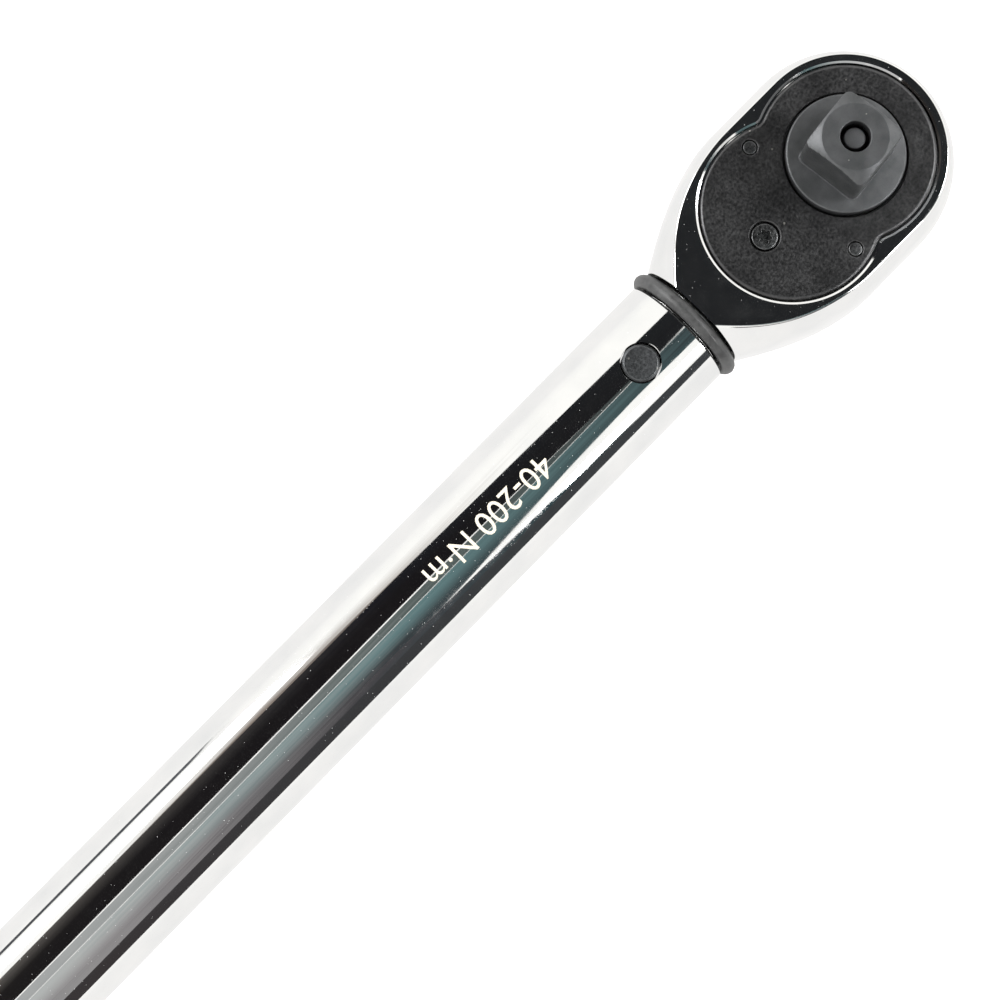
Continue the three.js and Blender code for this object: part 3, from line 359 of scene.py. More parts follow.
def etched_chrome(name):
    """Laser-etched plate: a frosted cream-white surface with a fine beam texture."""
    material, tree, shader, place = start(name, metallic=0.0, IOR=1.5)
    beam = noise(tree, place, 0.16, detail=4.0)
    tone = ramp(tree, beam, [(0.3, colour("#C9C1B0")), (0.7, colour("#E4DED0"))])
    paint(tree, shader, tone, ramp(tree, beam, [(0.3, 0.5), (0.7, 0.75)]))
    bump(tree, shader, beam, 0.01)
    return material


def filled_enamel(name):
    """Black enamel wiped into engraved lines."""
    material, tree, shader, place = start(name, metallic=0.0, IOR=1.5)
    patch = noise(tree, place, 0.3, detail=4.0)
    tone = ramp(tree, patch, [(0.3, colour("#111112")), (0.75, colour("#2B2B2C"))])
    paint(tree, shader, tone, ramp(tree, patch, [(0.3, 0.35), (0.7, 0.6)]))
    bump(tree, shader, patch, 0.01)
    return material


def studio_paper(name):
    """A plain pale floor of matt paper."""
    material, tree, shader, place = start(name, metallic=0.0, Roughness=0.9, IOR=1.4)
    fibre = noise(tree, place, 1.5)
    tone = ramp(tree, fibre, [(0.3, colour("#F4F4F4")), (0.7, colour("#F8F8F8"))])
    tree.links.new(tone, shader.inputs["Base Color"])
    shader.inputs["Emission Color"].default_value = colour("#FFFFFF")
    shader.inputs["Emission Strength"].default_value = 0.45
    return material


def card(name, stops, low_stops=None, span=(0.0, 1.0), axis="Y"):
    """A studio card that only shows in reflections, graded through its colours from far left to near right.
    It may shade along another axis into a second row of colours, or into nothing when that row is empty."""
    material = bpy.data.materials.new(name)
    material.use_nodes = True
    tree = material.node_tree
    tree.nodes.clear()
    place = add(tree, "ShaderNodeTexCoord", {}).outputs["Object"]
    axes = add(tree, "ShaderNodeSeparateXYZ", {}, [(0, place)])
    cloud = noise(tree, place, 90.0, detail=4.0)
    drift = add(tree, "ShaderNodeMath", {"operation": "MULTIPLY_ADD", 1: 0.16, 2: -0.08}, [(0, cloud)])
    far_left, near_right = -0.25, 0.4

    def graded(way, first, last, row):
        links = [(0, axes.outputs[way]), (1, drift.outputs[0])]
        wandering = add(tree, "ShaderNodeMath", {"operation": "ADD"}, links)
        spread = add(tree, "ShaderNodeMapRange", {1: first, 2: last}, [(0, wandering.outputs[0])])
        colours = [(i / (len(row) - 1), colour(stop)) for i, stop in enumerate(row)]
        return ramp(tree, spread.outputs[0], colours)

    tone = graded("X", far_left, near_right, stops)
    glow = add(tree, "ShaderNodeEmission", {"Strength": 1.0})
    result = glow.outputs[0]
    if low_stops is not None:
        across = graded(axis, span[0], span[1], ["#000000", "#FFFFFF"])
        if low_stops:
            tone = mixed(tree, across, tone, graded("X", far_left, near_right, low_stops))
        else:
            along = graded("X", 0.0, 0.26, ["#000000", "#FFFFFF"])
            ends = ramp(tree, along, [(0.0, 0.0), (0.4, 1.0), (1.0, 0.0)])
            shown = add(tree, "ShaderNodeMath", {"operation": "MULTIPLY"}, [(0, across), (1, ends)])
            clear = add(tree, "ShaderNodeBsdfTransparent", {})
            links = [(0, shown.outputs[0]), (1, clear.outputs[0]), (2, result)]
            result = add(tree, "ShaderNodeMixShader", {}, links).outputs[0]
    tree.links.new(tone, glow.inputs["Color"])
    add(tree, "ShaderNodeOutputMaterial", {}, [("Surface", result)])
    return material


HEAD_CHROME = nickel_chrome("nickel_chrome_forging", haze=0.075)
TUBE_CHROME = nickel_chrome("nickel_chrome_drawn_tube", along="X")
SATIN_CHROME = nickel_chrome("satin_chrome_turned", haze=0.16, hex_code="#D9DBDD", along="X")
COVER_BLACK = black_oxide("black_oxide_ground_plate")
# The screw's base is lighter than the plate's: partly its own lighter tone, partly painted light that offsets
# the shade in its counterbore.
SCREW_BLACK = black_oxide("black_oxide_screw", base="#606162", rubbed="#808182", rough=0.3)
LEVER_BLACK = black_oxide("black_oxide_forged_lever", base="#505051", rough=0.4)
KNOB_BLACK = black_oxide("black_oxide_turned_knob", base="#4C4C4D", rough=0.34)
DOWEL_BLACK = black_oxide("black_oxide_dowel", base="#565758", rubbed="#767778", rough=0.36)
PIN_GREY = black_oxide("black_oxide_ground_pin", base="#5F6163", rubbed="#737577", rough=0.4)
DRIVE_GREY = phosphate("manganese_phosphate_drive")
ROD_GREY = phosphate("manganese_phosphate_rod", base="#5C5D5F", rubbed="#6F7072")
PAWL_GREY = phosphate("manganese_phosphate_pawl", base="#3B3C3E", rubbed="#515254")
TURNED_STEEL = turned_steel("turned_carbon_steel")
BEARING_STEEL = turned_steel("ground_bearing_steel", base="#C4C6C9", rough=0.16)
SPRING_STEEL = spring_wire("oil_tempered_spring_wire")
BRASS = turned_brass("turned_brass")
RUBBER = nitrile_rubber("moulded_nitrile_rubber")
ETCHED = etched_chrome("laser_etched_chrome")
ENAMEL = filled_enamel("black_filled_engraving")


# Making shapes

def raw(verts, faces):
    """A mesh object in millimetres, with its faces pointing out."""
    mesh = bpy.data.meshes.new("work")
    mesh.from_pydata([tuple(v) for v in verts], [], faces)
    shape = bpy.data.objects.new("work", mesh)
    bpy.context.scene.collection.objects.link(shape)
    work = bmesh.new()
    work.from_mesh(mesh)
    bmesh.ops.recalc_face_normals(work, faces=work.faces)
    work.to_mesh(mesh)
    work.free()
    return shape


def softened(profile, closed=False, steps=4):
    """A profile of (along, radius, fillet) corners, with each fillet drawn as an arc."""
    out = []
    count = len(profile)
    for i, corner in enumerate(profile):
        here = Vector(corner[:2])
        fillet = corner[2] if len(corner) > 2 else 0.0
        inner = closed or 0 < i < count - 1
        if not fillet or not inner:
            out.append(here)
            continue
        back = (Vector(profile[i - 1][:2]) - here).normalized()
        ahead = (Vector(profile[(i + 1) % count][:2]) - here).normalized()
        half = back.angle(ahead) / 2
        reach = fillet / math.tan(half)
        centre = here + (back + ahead).normalized() * fillet / math.sin(half)
        first, last = here + back * reach - centre, here + ahead * reach - centre
        for step in range(steps + 1):
            out.append(centre + first.slerp(last, step / steps).normalized() * fillet)
    return out


def turned(profile, axis="X", segments=96, closed=False, steps=4, at=(0, 0, 0)):
    """A turned piece from a profile of (along, radius, fillet) corners; an open profile ends on the axis."""
    points = softened(profile, closed, steps)
    verts, rows = [], []
    for along, radius in points:
        if radius < 1e-6 and not closed:
            rows.append([len(verts)])
            verts.append((along, 0.0, 0.0))
            continue
        rows.append(list(range(len(verts), len(verts) + segments)))
        for i in range(segments):
            angle = 2 * math.pi * i / segments
            verts.append((along, radius * math.cos(angle), radius * math.sin(angle)))
    pairs = list(zip(rows, rows[1:])) + ([(rows[-1], rows[0])] if closed else [])
    faces = []
    for a, b in pairs:
        for i in range(segments):
            j = (i + 1) % segments
            loop = [a[i % len(a)], a[j % len(a)], b[j % len(b)], b[i % len(b)]]
            faces.append(list(dict.fromkeys(loop)))
    if axis == "Z":
        verts = [(v[1], v[2], v[0]) for v in verts]
    verts = [(v[0] + at[0], v[1] + at[1], v[2] + at[2]) for v in verts]
    return raw(verts, faces)


def lofted(rings):
    """A solid through matching rings of points, with flat ends."""
    count = len(rings[0])
    verts = [p for ring in rings for p in ring]
    faces = [list(range(count)), list(range(len(verts) - count, len(verts)))]
    for level in range(len(rings) - 1):
        for i in range(count):
            a, b = level * count + i, level * count + (i + 1) % count
            faces.append([a, b, b + count, a + count])
    return raw(verts, faces)


def prism(outline, bottom, top):
    return lofted([[(x, y, z) for x, y in outline] for z in (bottom, top)])


def boolean(shape, tool, operation):
    modifier = shape.modifiers.new("cut", "BOOLEAN")
    modifier.object = tool
    modifier.operation = operation
    modifier.solver = "EXACT"
    bpy.context.view_layer.update()
    graph = bpy.context.evaluated_depsgraph_get()
    result = bpy.data.meshes.new_from_object(shape.evaluated_get(graph))
    shape.modifiers.clear()
    shape.data = result
    bpy.data.objects.remove(tool)
    return shape


def cut(shape, *tools):
    for tool in tools:
        boolean(shape, tool, "DIFFERENCE")
    return shape


def joined(shape, *others):
    for other in others:
        boolean(shape, other, "UNION")
    return shape


def turn(shape, angle):
    shape.data.transform(Matrix.Rotation(angle, 4, "Z"))
    return shape


def bevelled(shape, width, angle=35, segments=2):
    """Small rounded edges wherever faces meet sharply."""
    modifier = shape.modifiers.new("edge", "BEVEL")
    modifier.width = width
    modifier.segments = segments
    modifier.limit_method = "ANGLE"
    modifier.angle_limit = math.radians(angle)
    modifier.use_clamp_overlap = True
    graph = bpy.context.evaluated_depsgraph_get()
    result = bpy.data.meshes.new_from_object(shape.evaluated_get(graph))
    shape.modifiers.clear()
    shape.data = result
    return shape


def settle(shape, name, body, material, nodes=(), sharp=32):
    """Moves a shape into the frame, and gives it its name, shading, finish and body."""
    shape.name = shape.data.name = name
    shape.data.transform(Matrix.Translation(DRIVE_AXIS) @ Matrix.Scale(MM, 4))
    shape.data.shade_smooth()
    shape.data.set_sharp_from_angle(angle=math.radians(sharp))
    weighted = shape.modifiers.new("faces", "WEIGHTED_NORMAL")
    weighted.keep_sharp = True
    weighted.weight = 100
    shape.data.materials.clear()
    shape.data.materials.append(material)
    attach(shape, body)
    if nodes:
        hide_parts(*nodes)
    return shape


# Head forging

def arc(x, y, radius, first, last, steps):
    for i in range(steps + 1):
        angle = first + (last - first) * i / steps
        yield x + radius * math.cos(angle), y + radius * math.sin(angle)


def head_outline():
    """The widest outline of the head's upper half in plan, from the nose to the shoulder."""
    points = list(arc(HEAD_CENTRE_X, 0, HEAD_R, 0, math.pi / 2, 56))
    steps = 10
    flank = FLANK_START_X - HEAD_CENTRE_X
    points += [(HEAD_CENTRE_X + flank * i / steps, HEAD_R) for i in range(1, steps)]
    # The flank narrows to the shoulder in one curve, held by these four points
    a, b = Vector((FLANK_START_X, HEAD_R)), Vector((-22, HEAD_R))
    c, d = Vector((-31, 15.6)), Vector((SHOULDER_X, SHOULDER_HALF_WIDTH))
    for i in range(41):
        t = i / 40
        s = 1 - t
        points.append(tuple(s ** 3 * a + 3 * s * s * t * b + 3 * s * t * t * c + t ** 3 * d))
    return [Vector(p) for p in points]


def towards_neck(x):
    """0 over most of the head, rising to 1 at the shoulder."""
    start_x = FLANK_START_X - 10
    return min(max((x - start_x) / (SHOULDER_X - start_x), 0), 1)


def flat_inset(x):
    return SIDE_INSET + (NECK_INSET - SIDE_INSET) * towards_neck(x) ** 3


def head_ring(outline, z, extra):
    fall = abs(z / FLAT_Z) ** 2.6
    upper = []
    for i, point in enumerate(outline):
        before, after = outline[max(i - 1, 0)], outline[min(i + 1, len(outline) - 1)]
        inward = Vector((before.y - after.y, after.x - before.x)).normalized()
        if i == 0:
            inward = Vector((-1, 0))
        inward = inward.lerp(Vector((0, -1)), towards_neck(point.x))
        moved = point + inward * (flat_inset(point.x) * fall + extra)
        upper.append((moved.x, max(moved.y, 0), z))
    return upper + [(x, -y, z) for x, y, z in reversed(upper[1:])]


def head_body():
    """Side walls that bulge between two milled flats, with a small round on each flat's edge."""
    outline = head_outline()
    rim = FLAT_Z - EDGE_BREAK
    levels = [(rim * math.sin(math.pi / 2 * i / 14), 0.0) for i in range(-14, 15)]
    corner = [(FLAT_Z - EDGE_BREAK * (1 - math.sin(a)), EDGE_BREAK * (1 - math.cos(a)))
              for a in (math.pi / 2 * i / 6 for i in range(1, 7))]
    levels = [(-z, extra) for z, extra in reversed(corner)] + levels + corner
    return lofted([head_ring(outline, z, extra) for z, extra in levels])


def cover_outline(clearance):
    """Two lobes with a concave arc in each notch."""
    front_r, rear_r = COVER_FRONT_R + clearance, COVER_REAR_R + clearance
    notch_r = COVER_NOTCH_R - clearance
    span = COVER_FRONT_X - COVER_REAR_X
    to_front, to_rear = front_r + notch_r, rear_r + notch_r
    along = (span ** 2 + to_rear ** 2 - to_front ** 2) / (2 * span)
    notch_x, notch_y = COVER_REAR_X + along, math.sqrt(to_rear ** 2 - along ** 2)
    front = math.atan2(notch_y, notch_x - COVER_FRONT_X)
    rear = math.atan2(notch_y, notch_x - COVER_REAR_X)
    points = list(arc(COVER_FRONT_X, 0, front_r, -front, front, 96))
    points += list(arc(notch_x, notch_y, notch_r, front - math.pi, rear - math.pi, 10))[1:-1]
    points += list(arc(COVER_REAR_X, 0, rear_r, rear, 2 * math.pi - rear, 96))
    points += list(arc(notch_x, -notch_y, notch_r, math.pi - rear, math.pi - front, 10))[1:-1]
    return points


def post(radius, x, y, bottom, top, chamfer=0.0, segments=64):
    """A round hole or post along Z; a chamfer flares its top."""
    profile = [(bottom, 0), (bottom, radius), (top, radius), (top, 0)]
    if chamfer:
        profile[2:] = [(top - chamfer, radius), (top + CUT, radius + chamfer + CUT), (top + CUT, 0)]
    return turned(profile, "Z", segments, at=(x, y, 0))


def recess_tool():
    """The cover's recess, with a shallow chamfer that catches the side light along the milled flat."""
    drop, wide = 0.15, 0.4
    levels = [(COVER_BOTTOM - FIT, FIT), (FLAT_Z - drop - 0.08, FIT), (FLAT_Z - drop, FIT + 0.03),
              (FLAT_Z, FIT + wide), (FLAT_Z + CUT, FIT + wide + CUT / 2)]
    return lofted([[(x, y, z) for x, y in cover_outline(gap)] for z, gap in levels])


def make_head():
    head = head_body()
    ring_seat_r = O_RING_MEAN_R - O_RING_SECTION_R - FIT
    seat_end = MOUTH_X + 0.4
    neck = turned([(SHOULDER_X + CUT, 0), (SHOULDER_X + CUT, ring_seat_r), (seat_end, ring_seat_r, 0.2),
                   (seat_end - 0.4, NECK_R, 0.2), (NECK_END_X, NECK_R, 0.5), (NECK_END_X - 4, 6),
                   (NECK_END_X - 4, 0)])
    side = TAIL_HALF_WIDTH
    tail = [(NECK_END_X, -side), (TAIL_END_X, -side), (TAIL_END_X, side), (NECK_END_X, side)]
    joined(head, neck, bevelled(prism(tail, -TAIL_HALF_HEIGHT, TAIL_HALF_HEIGHT), 0.4))
    pawl_room = post(PAWL_ROOM_R, COVER_REAR_X, 0, PAWL_FLOOR, COVER_BOTTOM, segments=96)
    behind = [(-60, -30), (PAWL_ROOM_REAR_X, -30), (PAWL_ROOM_REAR_X, 30), (-60, 30)]
    cut(pawl_room, prism(behind, -20, 20), post(SCREW_BOSS_R, SCREW_X, 0, -20, 20))
    cut(head, recess_tool(), post(POCKET_R, 0, 0, FLOOR, COVER_BOTTOM, segments=96), pawl_room)
    cut(head, post(LEVER_HUB_R + FIT, 0, 0, -FLAT_Z - CUT, FLOOR + CUT),
        post(PIVOT_R + FIT, PIVOT_X, 0, -12, 12))
    cut(head, post(SCREW_R + FIT, SCREW_X, 0, COVER_BOTTOM - 9, COVER_BOTTOM, segments=32))
    for side in (1, -1):
        cut(head, post(2.6, PIN_X, side * PIN_Y, PAWL_FLOOR, COVER_BOTTOM),
            post(PIN_R + 0.2, PIN_X, side * PIN_Y, PAWL_FLOOR - 2.5, COVER_BOTTOM, segments=32))
    settle(head, "head_forging", "head", HEAD_CHROME, ["ratchet_head"], sharp=17)


def make_cover():
    """The plate's top edge is tumbled round; its holes have small chamfers."""
    soft = 0.75
    levels = [(COVER_BOTTOM, 0.0)]
    for i in range(6):
        angle = math.pi / 2 * i / 5
        levels.append((COVER_TOP - soft * (1 - math.sin(angle)), -soft * (1 - math.cos(angle))))
    plate = lofted([[(x, y, z) for x, y in cover_outline(gap)] for z, gap in levels])
    cut(plate, post(FLANGE_R + FLANGE_GAP, 0, 0, COVER_BOTTOM - CUT, COVER_TOP, 0.12, 128))
    cut(plate, post(SCREW_HEAD_R + FIT, SCREW_X, 0, COVER_TOP - 1.8, COVER_TOP, 0.2),
        post(SCREW_R + FIT, SCREW_X, 0, 9, COVER_TOP - 1))
    for side in (1, -1):
        cut(plate, post(PIN_R + 0.1, PIN_X, side * PIN_Y, COVER_BOTTOM - CUT, COVER_TOP, 0.16, 48))
    settle(plate, "cover_plate_ground", "head", COVER_BLACK, ["cover_plate"])


def make_cover_screw():
    top = high("cover_screw").z
    bottom = low("cover_screw").z
    screw = turned([(bottom, 0), (bottom, 1.2, 0.1), (bottom + 0.5, SCREW_R, 0.2), (top - 1.3, SCREW_R, 0.2),
                    (top - 1.3, SCREW_HEAD_R, 0.1), (top, SCREW_HEAD_R, 0.3), (top, 0)],
                   "Z", 64, at=(SCREW_X, 0, 0))
    rings = []
    for z, flare in ((top - 1.2, 0.0), (top - 0.15, 0.0), (top, 0.13), (top + CUT, 0.13 + CUT)):
        ring = []
        for i in range(72):
            angle = 2 * math.pi * i / 72
            radius = 1.3 * (0.82 + 0.18 * math.cos(6 * angle)) + flare
            ring.append((SCREW_X + radius * math.cos(angle), radius * math.sin(angle), z))
        rings.append(ring)
    cut(screw, lofted(rings))
    settle(screw, "cover_screw_star", "head", SCREW_BLACK, ["cover_screw"])


def make_pawl_pins():
    for side, word in ((1, "left"), (-1, "right")):
        node = f"pawl_pin_{word}"
        top, bottom = high(node).z, low(node).z
        pin = turned([(bottom, 0), (bottom, PIN_R, 0.2), (top, PIN_R, 0.3), (top, 0)], "Z", 48,
                     at=(PIN_X, side * PIN_Y, 0))
        settle(pin, f"pawl_dowel_{word}", "head", DOWEL_BLACK, [node])


# Drive

def square_radius(angle, half, corner):
    """Distance from the centre to a square with rounded corners, at an angle."""
    a = abs((angle + math.pi / 4) % (math.pi / 2) - math.pi / 4)
    edge = half - corner
    if half * math.tan(a) <= edge:
        return half / math.cos(a)
    d = edge * (math.cos(a) + math.sin(a))
    return d + math.sqrt(max(corner ** 2 - 2 * edge ** 2 + d ** 2, 0))


def make_drive():
    """Gear, flange and square in one forging. The square's foot has a fillet and its end a turned chamfer."""
    crown = 0.45
    bottom = low("drive_gear").z
    body = turned([(bottom, 0), (bottom, JOURNAL_R, 0.4), (GEAR_BOTTOM + CUT, JOURNAL_R),
                   (GEAR_TOP - CUT, FLANGE_R), (FLANGE_TOP - crown, FLANGE_R, 0.4), (FLANGE_TOP, 7.0),
                   (FLANGE_TOP, 0)], "Z", 128)
    teeth = []
    for i in range(2 * GEAR_TEETH):
        radius = GEAR_R - TOOTH_DEPTH if i % 2 else GEAR_R
        angle = math.pi * i / GEAR_TEETH
        teeth.append((radius * math.cos(angle), radius * math.sin(angle)))
    foot = 0.15
    reach = SQUARE * 0.71
    levels = [FLANGE_TOP - CUT]
    levels += [FLANGE_TOP + foot * (1 - math.cos(math.pi / 2 * i / 5)) for i in range(6)]
    chamfer_start = SQUARE_TOP - (reach - SQUARE_CHAMFER_R) * SQUARE_CHAMFER_SLOPE
    levels += [chamfer_start - 0.4]
    levels += [chamfer_start + (SQUARE_TOP - chamfer_start) * i / 6 for i in range(7)]
    rings = []
    for z in levels:
        rise = max(z - FLANGE_TOP, 0)
        flare = foot - math.sqrt(foot ** 2 - (foot - rise) ** 2) if rise < foot else 0
        cone = SQUARE_CHAMFER_R + (SQUARE_TOP - z) / SQUARE_CHAMFER_SLOPE
        ring = []
        for i in range(160):
            angle = 2 * math.pi * i / 160
            radius = min(square_radius(angle, SQUARE / 2 + flare, SQUARE_CORNER_R + flare), cone)
            angle += SQUARE_TURN
            ring.append((radius * math.cos(angle), radius * math.sin(angle), z))
        rings.append(ring)
    joined(body, prism(teeth, GEAR_BOTTOM, GEAR_TOP), lofted(rings))
    bore_top = LEVER_BOTTOM + 11.6
    cut(body, turned([(bottom - CUT, 0), (bottom - CUT, BUTTON_BORE_R), (bore_top, BUTTON_BORE_R),
                      (bore_top, DRIVE_BORE_R), (SQUARE_TOP - 0.15, DRIVE_BORE_R),
                      (SQUARE_TOP + CUT, DRIVE_BORE_R + 0.15 + CUT), (SQUARE_TOP + CUT, 0)], "Z", 64))
    hole = turned([(0, 0), (0, BALL_R + FIT), (SQUARE / 2 - 0.2, BALL_R + FIT),
                   (SQUARE, BALL_R + SQUARE / 2 + 0.5), (SQUARE, 0)], "X", 48, at=(0, 0, BALL_Z))
    cut(body, turn(hole, SQUARE_TURN))
    settle(body, "drive_square_gear", "drive", DRIVE_GREY, ["drive_gear"], sharp=24)


def make_release():
    node = "release_button"
    bottom, top = low(node).z, high(node).z
    neck = BALL_Z - 2.5
    rod = turned([(bottom, 0), (bottom, BUTTON_R, 0.6), (bottom + BUTTON_HEIGHT, BUTTON_R, 0.2),
                  (bottom + BUTTON_HEIGHT, ROD_R), (neck - 2.6, ROD_R), (neck - 1.6, ROD_NECK_R),
                  (neck, ROD_NECK_R), (BALL_Z, ROD_R), (top - 4, ROD_R), (top - 3, ROD_TIP_R),
                  (top, ROD_TIP_R, 0.25), (top, 0)], "Z", 64)
    settle(rod, "release_rod_and_button", "release_rod", ROD_GREY, [node])
    centre = (Vector(low("detent_ball")) + Vector(high("detent_ball"))) / 2
    angles = [math.pi * i / 24 for i in range(25)]
    ball = turned([(-BALL_R * math.cos(a), BALL_R * math.sin(a)) for a in angles], "X", 48, at=centre)
    settle(ball, "detent_ball_ground", "detent", BEARING_STEEL, ["detent_ball"])


# Underside

def make_lever():
    """A round disc with a ribbed thumb tab, dished round the gear's journal."""
    face = -FLAT_Z - FIT
    base = LEVER_BOTTOM
    lever = turned([(base, 0), (base, LEVER_R, 1.4), (face, LEVER_R, 0.3), (face, LEVER_HUB_R),
                    (FLOOR, LEVER_HUB_R, 0.2), (FLOOR, 0)], "Z", 128)
    half = LEVER_TAB_HALF_WIDTH
    rings = []
    for z, gap in ((base + 1, -0.8), (base + 1.25, -0.3), (base + 1.8, 0.0), (face, 0.0)):
        ring = [(0, -half - 3 - gap), (0, half + 3 + gap)]
        ring += list(arc(LEVER_TIP_X + half, 0, half + gap, math.pi / 2, 1.5 * math.pi, 24))
        rings.append([(x, y, z) for x, y in ring])
    tab = lofted(rings)
    for x in (-16.2, -18.2, -20.2, -22.2):
        groove = turn(turned([(-9, 0), (-9, 0.5), (9, 0.5), (9, 0)], "X", 16), math.pi / 2)
        groove.data.transform(Matrix.Translation((x, 0, base + 0.9)))
        cut(tab, groove)
    joined(lever, tab)
    cut(lever, post(JOURNAL_R + FIT, 0, 0, base - CUT, FLOOR + CUT, segments=96))
    settle(turn(lever, LEVER_TURN), "reversing_lever_forged", "reverser", LEVER_BLACK,
           ["reversing_lever"])


# Neck joint and tube

def make_o_ring():
    """A round section with the faint raised line that the mould leaves."""
    profile = []
    for i in range(40):
        angle = 2 * math.pi * i / 40
        radius = O_RING_SECTION_R - 0.04 + (0.04 if i in (10, 30) else 0)
        profile.append((O_RING_X + radius * math.cos(angle), O_RING_MEAN_R + radius * math.sin(angle)))
    ring = turned(profile, "X", 160, closed=True)
    settle(ring, "neck_o_ring_rubber", "head", RUBBER, ["neck_o_ring"], sharp=60)


def make_pivot_pin():
    top, bottom = high("pivot_pin").z, low("pivot_pin").z
    bevel = 0.45
    pin = turned([(bottom, 0), (bottom, PIVOT_R - bevel, 0.1), (bottom + bevel, PIVOT_R, 0.1),
                  (top - bevel, PIVOT_R, 0.1), (top, PIVOT_R - bevel, 0.1), (top, 0)],
                 "Z", 96, at=(PIVOT_X, 0, 0))
    settle(pin, "pivot_pin_ground", "tube", PIN_GREY, ["pivot_pin"])


def round_normals(shape, radius):
    """Exact normals on the tube's outside, so that holes in it leave its reflections straight."""
    mesh = shape.data
    mesh.shade_smooth()
    normals = [corner.vector.copy() for corner in mesh.corner_normals]
    for face in mesh.polygons:
        middle = face.center
        radial = Vector((0, middle.y, middle.z)).normalized()
        if abs(face.normal.dot(radial)) > 0.99 and math.hypot(middle.y, middle.z) > radius * 0.9:
            for loop in face.loop_indices:
                at = mesh.vertices[mesh.loops[loop].vertex_index].co
                normals[loop] = Vector((0, at.y, at.z)).normalized()
        else:
            for loop in face.loop_indices:
                normals[loop] = face.normal.copy()
    mesh.normals_split_custom_set(normals)


def make_tube():
    bevel = 0.35
    tube = turned([(TUBE_END_X, TUBE_BORE_R), (TUBE_END_X, TUBE_R - bevel), (TUBE_END_X + bevel, TUBE_R),
                   (MOUTH_X - bevel, TUBE_R), (MOUTH_X, TUBE_R - bevel), (MOUTH_X, TUBE_BORE_R + bevel),
                   (MOUTH_X - bevel, TUBE_BORE_R)], "X", 192, closed=True)
    hole = PIVOT_R + FIT
    for side in (1, -1):
        tool = turned([(7, 0), (7, hole), (TUBE_R - 0.1, hole), (TUBE_R + CUT, hole + 0.1 + CUT),
                       (TUBE_R + CUT, 0)], "Z", 96, at=(PIVOT_X, 0, 0))
        tool.data.transform(Matrix.Diagonal((1, side, side, 1)))
        cut(tube, tool)
    nut_pin_x = (low("nut_pin_left").x + high("nut_pin_left").x) / 2
    across = turned([(-13, 0), (-13, 1.7), (13, 1.7), (13, 0)], "X", 32)
    across.data.transform(Matrix.Translation((nut_pin_x, 0, 0)) @ Matrix.Rotation(math.pi / 2, 4, "Z"))
    cut(tube, across)
    piece = settle(tube, "tube_drawn", "tube", TUBE_CHROME, ["body_tube"])
    piece.modifiers.clear()
    piece.data.transform(Matrix.Translation((0, 0, -DRIVE_AXIS.z)))
    round_normals(piece, TUBE_R * MM)
    piece.data.transform(Matrix.Translation((0, 0, DRIVE_AXIS.z)))


# Handle

def knurl(angle, x, around, pitch):
    """Height from 0 in a groove to 1 on a point of a diamond knurl."""
    u = around * angle / (2 * math.pi) + x / pitch
    v = around * angle / (2 * math.pi) - x / pitch
    return 1 - max(abs(2 * (u % 1) - 1), abs(2 * (v % 1) - 1))


def skin(stations, segments, closed_end=False):
    """A solid of revolution. Stations are (along, radius), where a radius may be a function of the angle."""
    rings = []
    for along, radius in stations:
        ring = []
        for i in range(segments):
            angle = 2 * math.pi * i / segments
            r = radius(angle) if callable(radius) else radius
            ring.append((along, r * math.cos(angle), r * math.sin(angle)))
        rings.append(ring)
    verts = [p for ring in rings for p in ring]
    faces = []
    pairs = len(rings) - (1 if closed_end else 0)
    for level in range(pairs):
        for i in range(segments):
            j = (i + 1) % segments
            a, b = level * segments, ((level + 1) % len(rings)) * segments
            faces.append([a + i, a + j, b + j, b + i])
    if closed_end:
        faces += [list(range(segments)), list(range(len(verts) - segments, len(verts)))]
    return raw(verts, faces)


def make_handle():
    """A steel sleeve with a plain thimble for the scale and a diamond-knurled grip."""
    around, pitch, depth = 60, 3.0, 0.5
    rear, front, step = HANDLE_REAR_X, HANDLE_FRONT_X, THIMBLE_END_X
    grip_front, grip_rear = step - 6.5, rear + 3.0
    bore = TUBE_R + FIT
    ring_x = front - 9
    stations = [(rear, PLUG_R + FIT), (rear, GRIP_R - 1.9), (rear + 0.3, GRIP_R - 1.6),
                (rear + 1.5, GRIP_R - 0.25), (rear + 1.9, GRIP_R - 0.1), (grip_rear - 0.4, GRIP_R - 0.1)]
    steps = int((grip_front - grip_rear) / pitch * 8)
    for i in range(steps + 1):
        x = grip_rear + (grip_front - grip_rear) * i / steps
        fade = min(1, min(i, steps - i) / 6)
        cut_in = lambda a, x=x, fade=fade: GRIP_R - depth * (1 - knurl(a, x, around, pitch)) * fade
        stations.append((x, cut_in))
    stations += [(grip_front + 0.4, GRIP_R - 0.1), (step - 5.2, GRIP_R - 0.1), (step - 4.8, GRIP_R - 0.3),
                 (step - 3.6, GRIP_R - 1.5), (step - 3.5, GRIP_R - 1.8), (step - 3.5, THIMBLE_R - 0.6),
                 (step - 3.3, THIMBLE_R - 0.8), (step - 1.0, THIMBLE_R - 0.8), (step - 0.3, THIMBLE_R - 0.2),
                 (step, THIMBLE_R), (front - 10, THIMBLE_R), (front - BEVEL_LENGTH, THIMBLE_R - 0.05),
                 (front - 0.1, THIMBLE_LIP_R), (front, THIMBLE_LIP_R - 0.1), (front, bore),
                 (ring_x + 0.9, bore), (ring_x + 0.9, bore + 1.3), (ring_x - 0.9, bore + 1.3),
                 (ring_x - 0.9, bore)]
    plug_front = high("handle_plug").x + FIT
    stations += [(plug_front, bore), (plug_front, PLUG_R + FIT)]
    settle(skin(stations, around * 6), "handle_sleeve_knurled", "handle", SATIN_CHROME,
           ["handle_sleeve"], sharp=26)


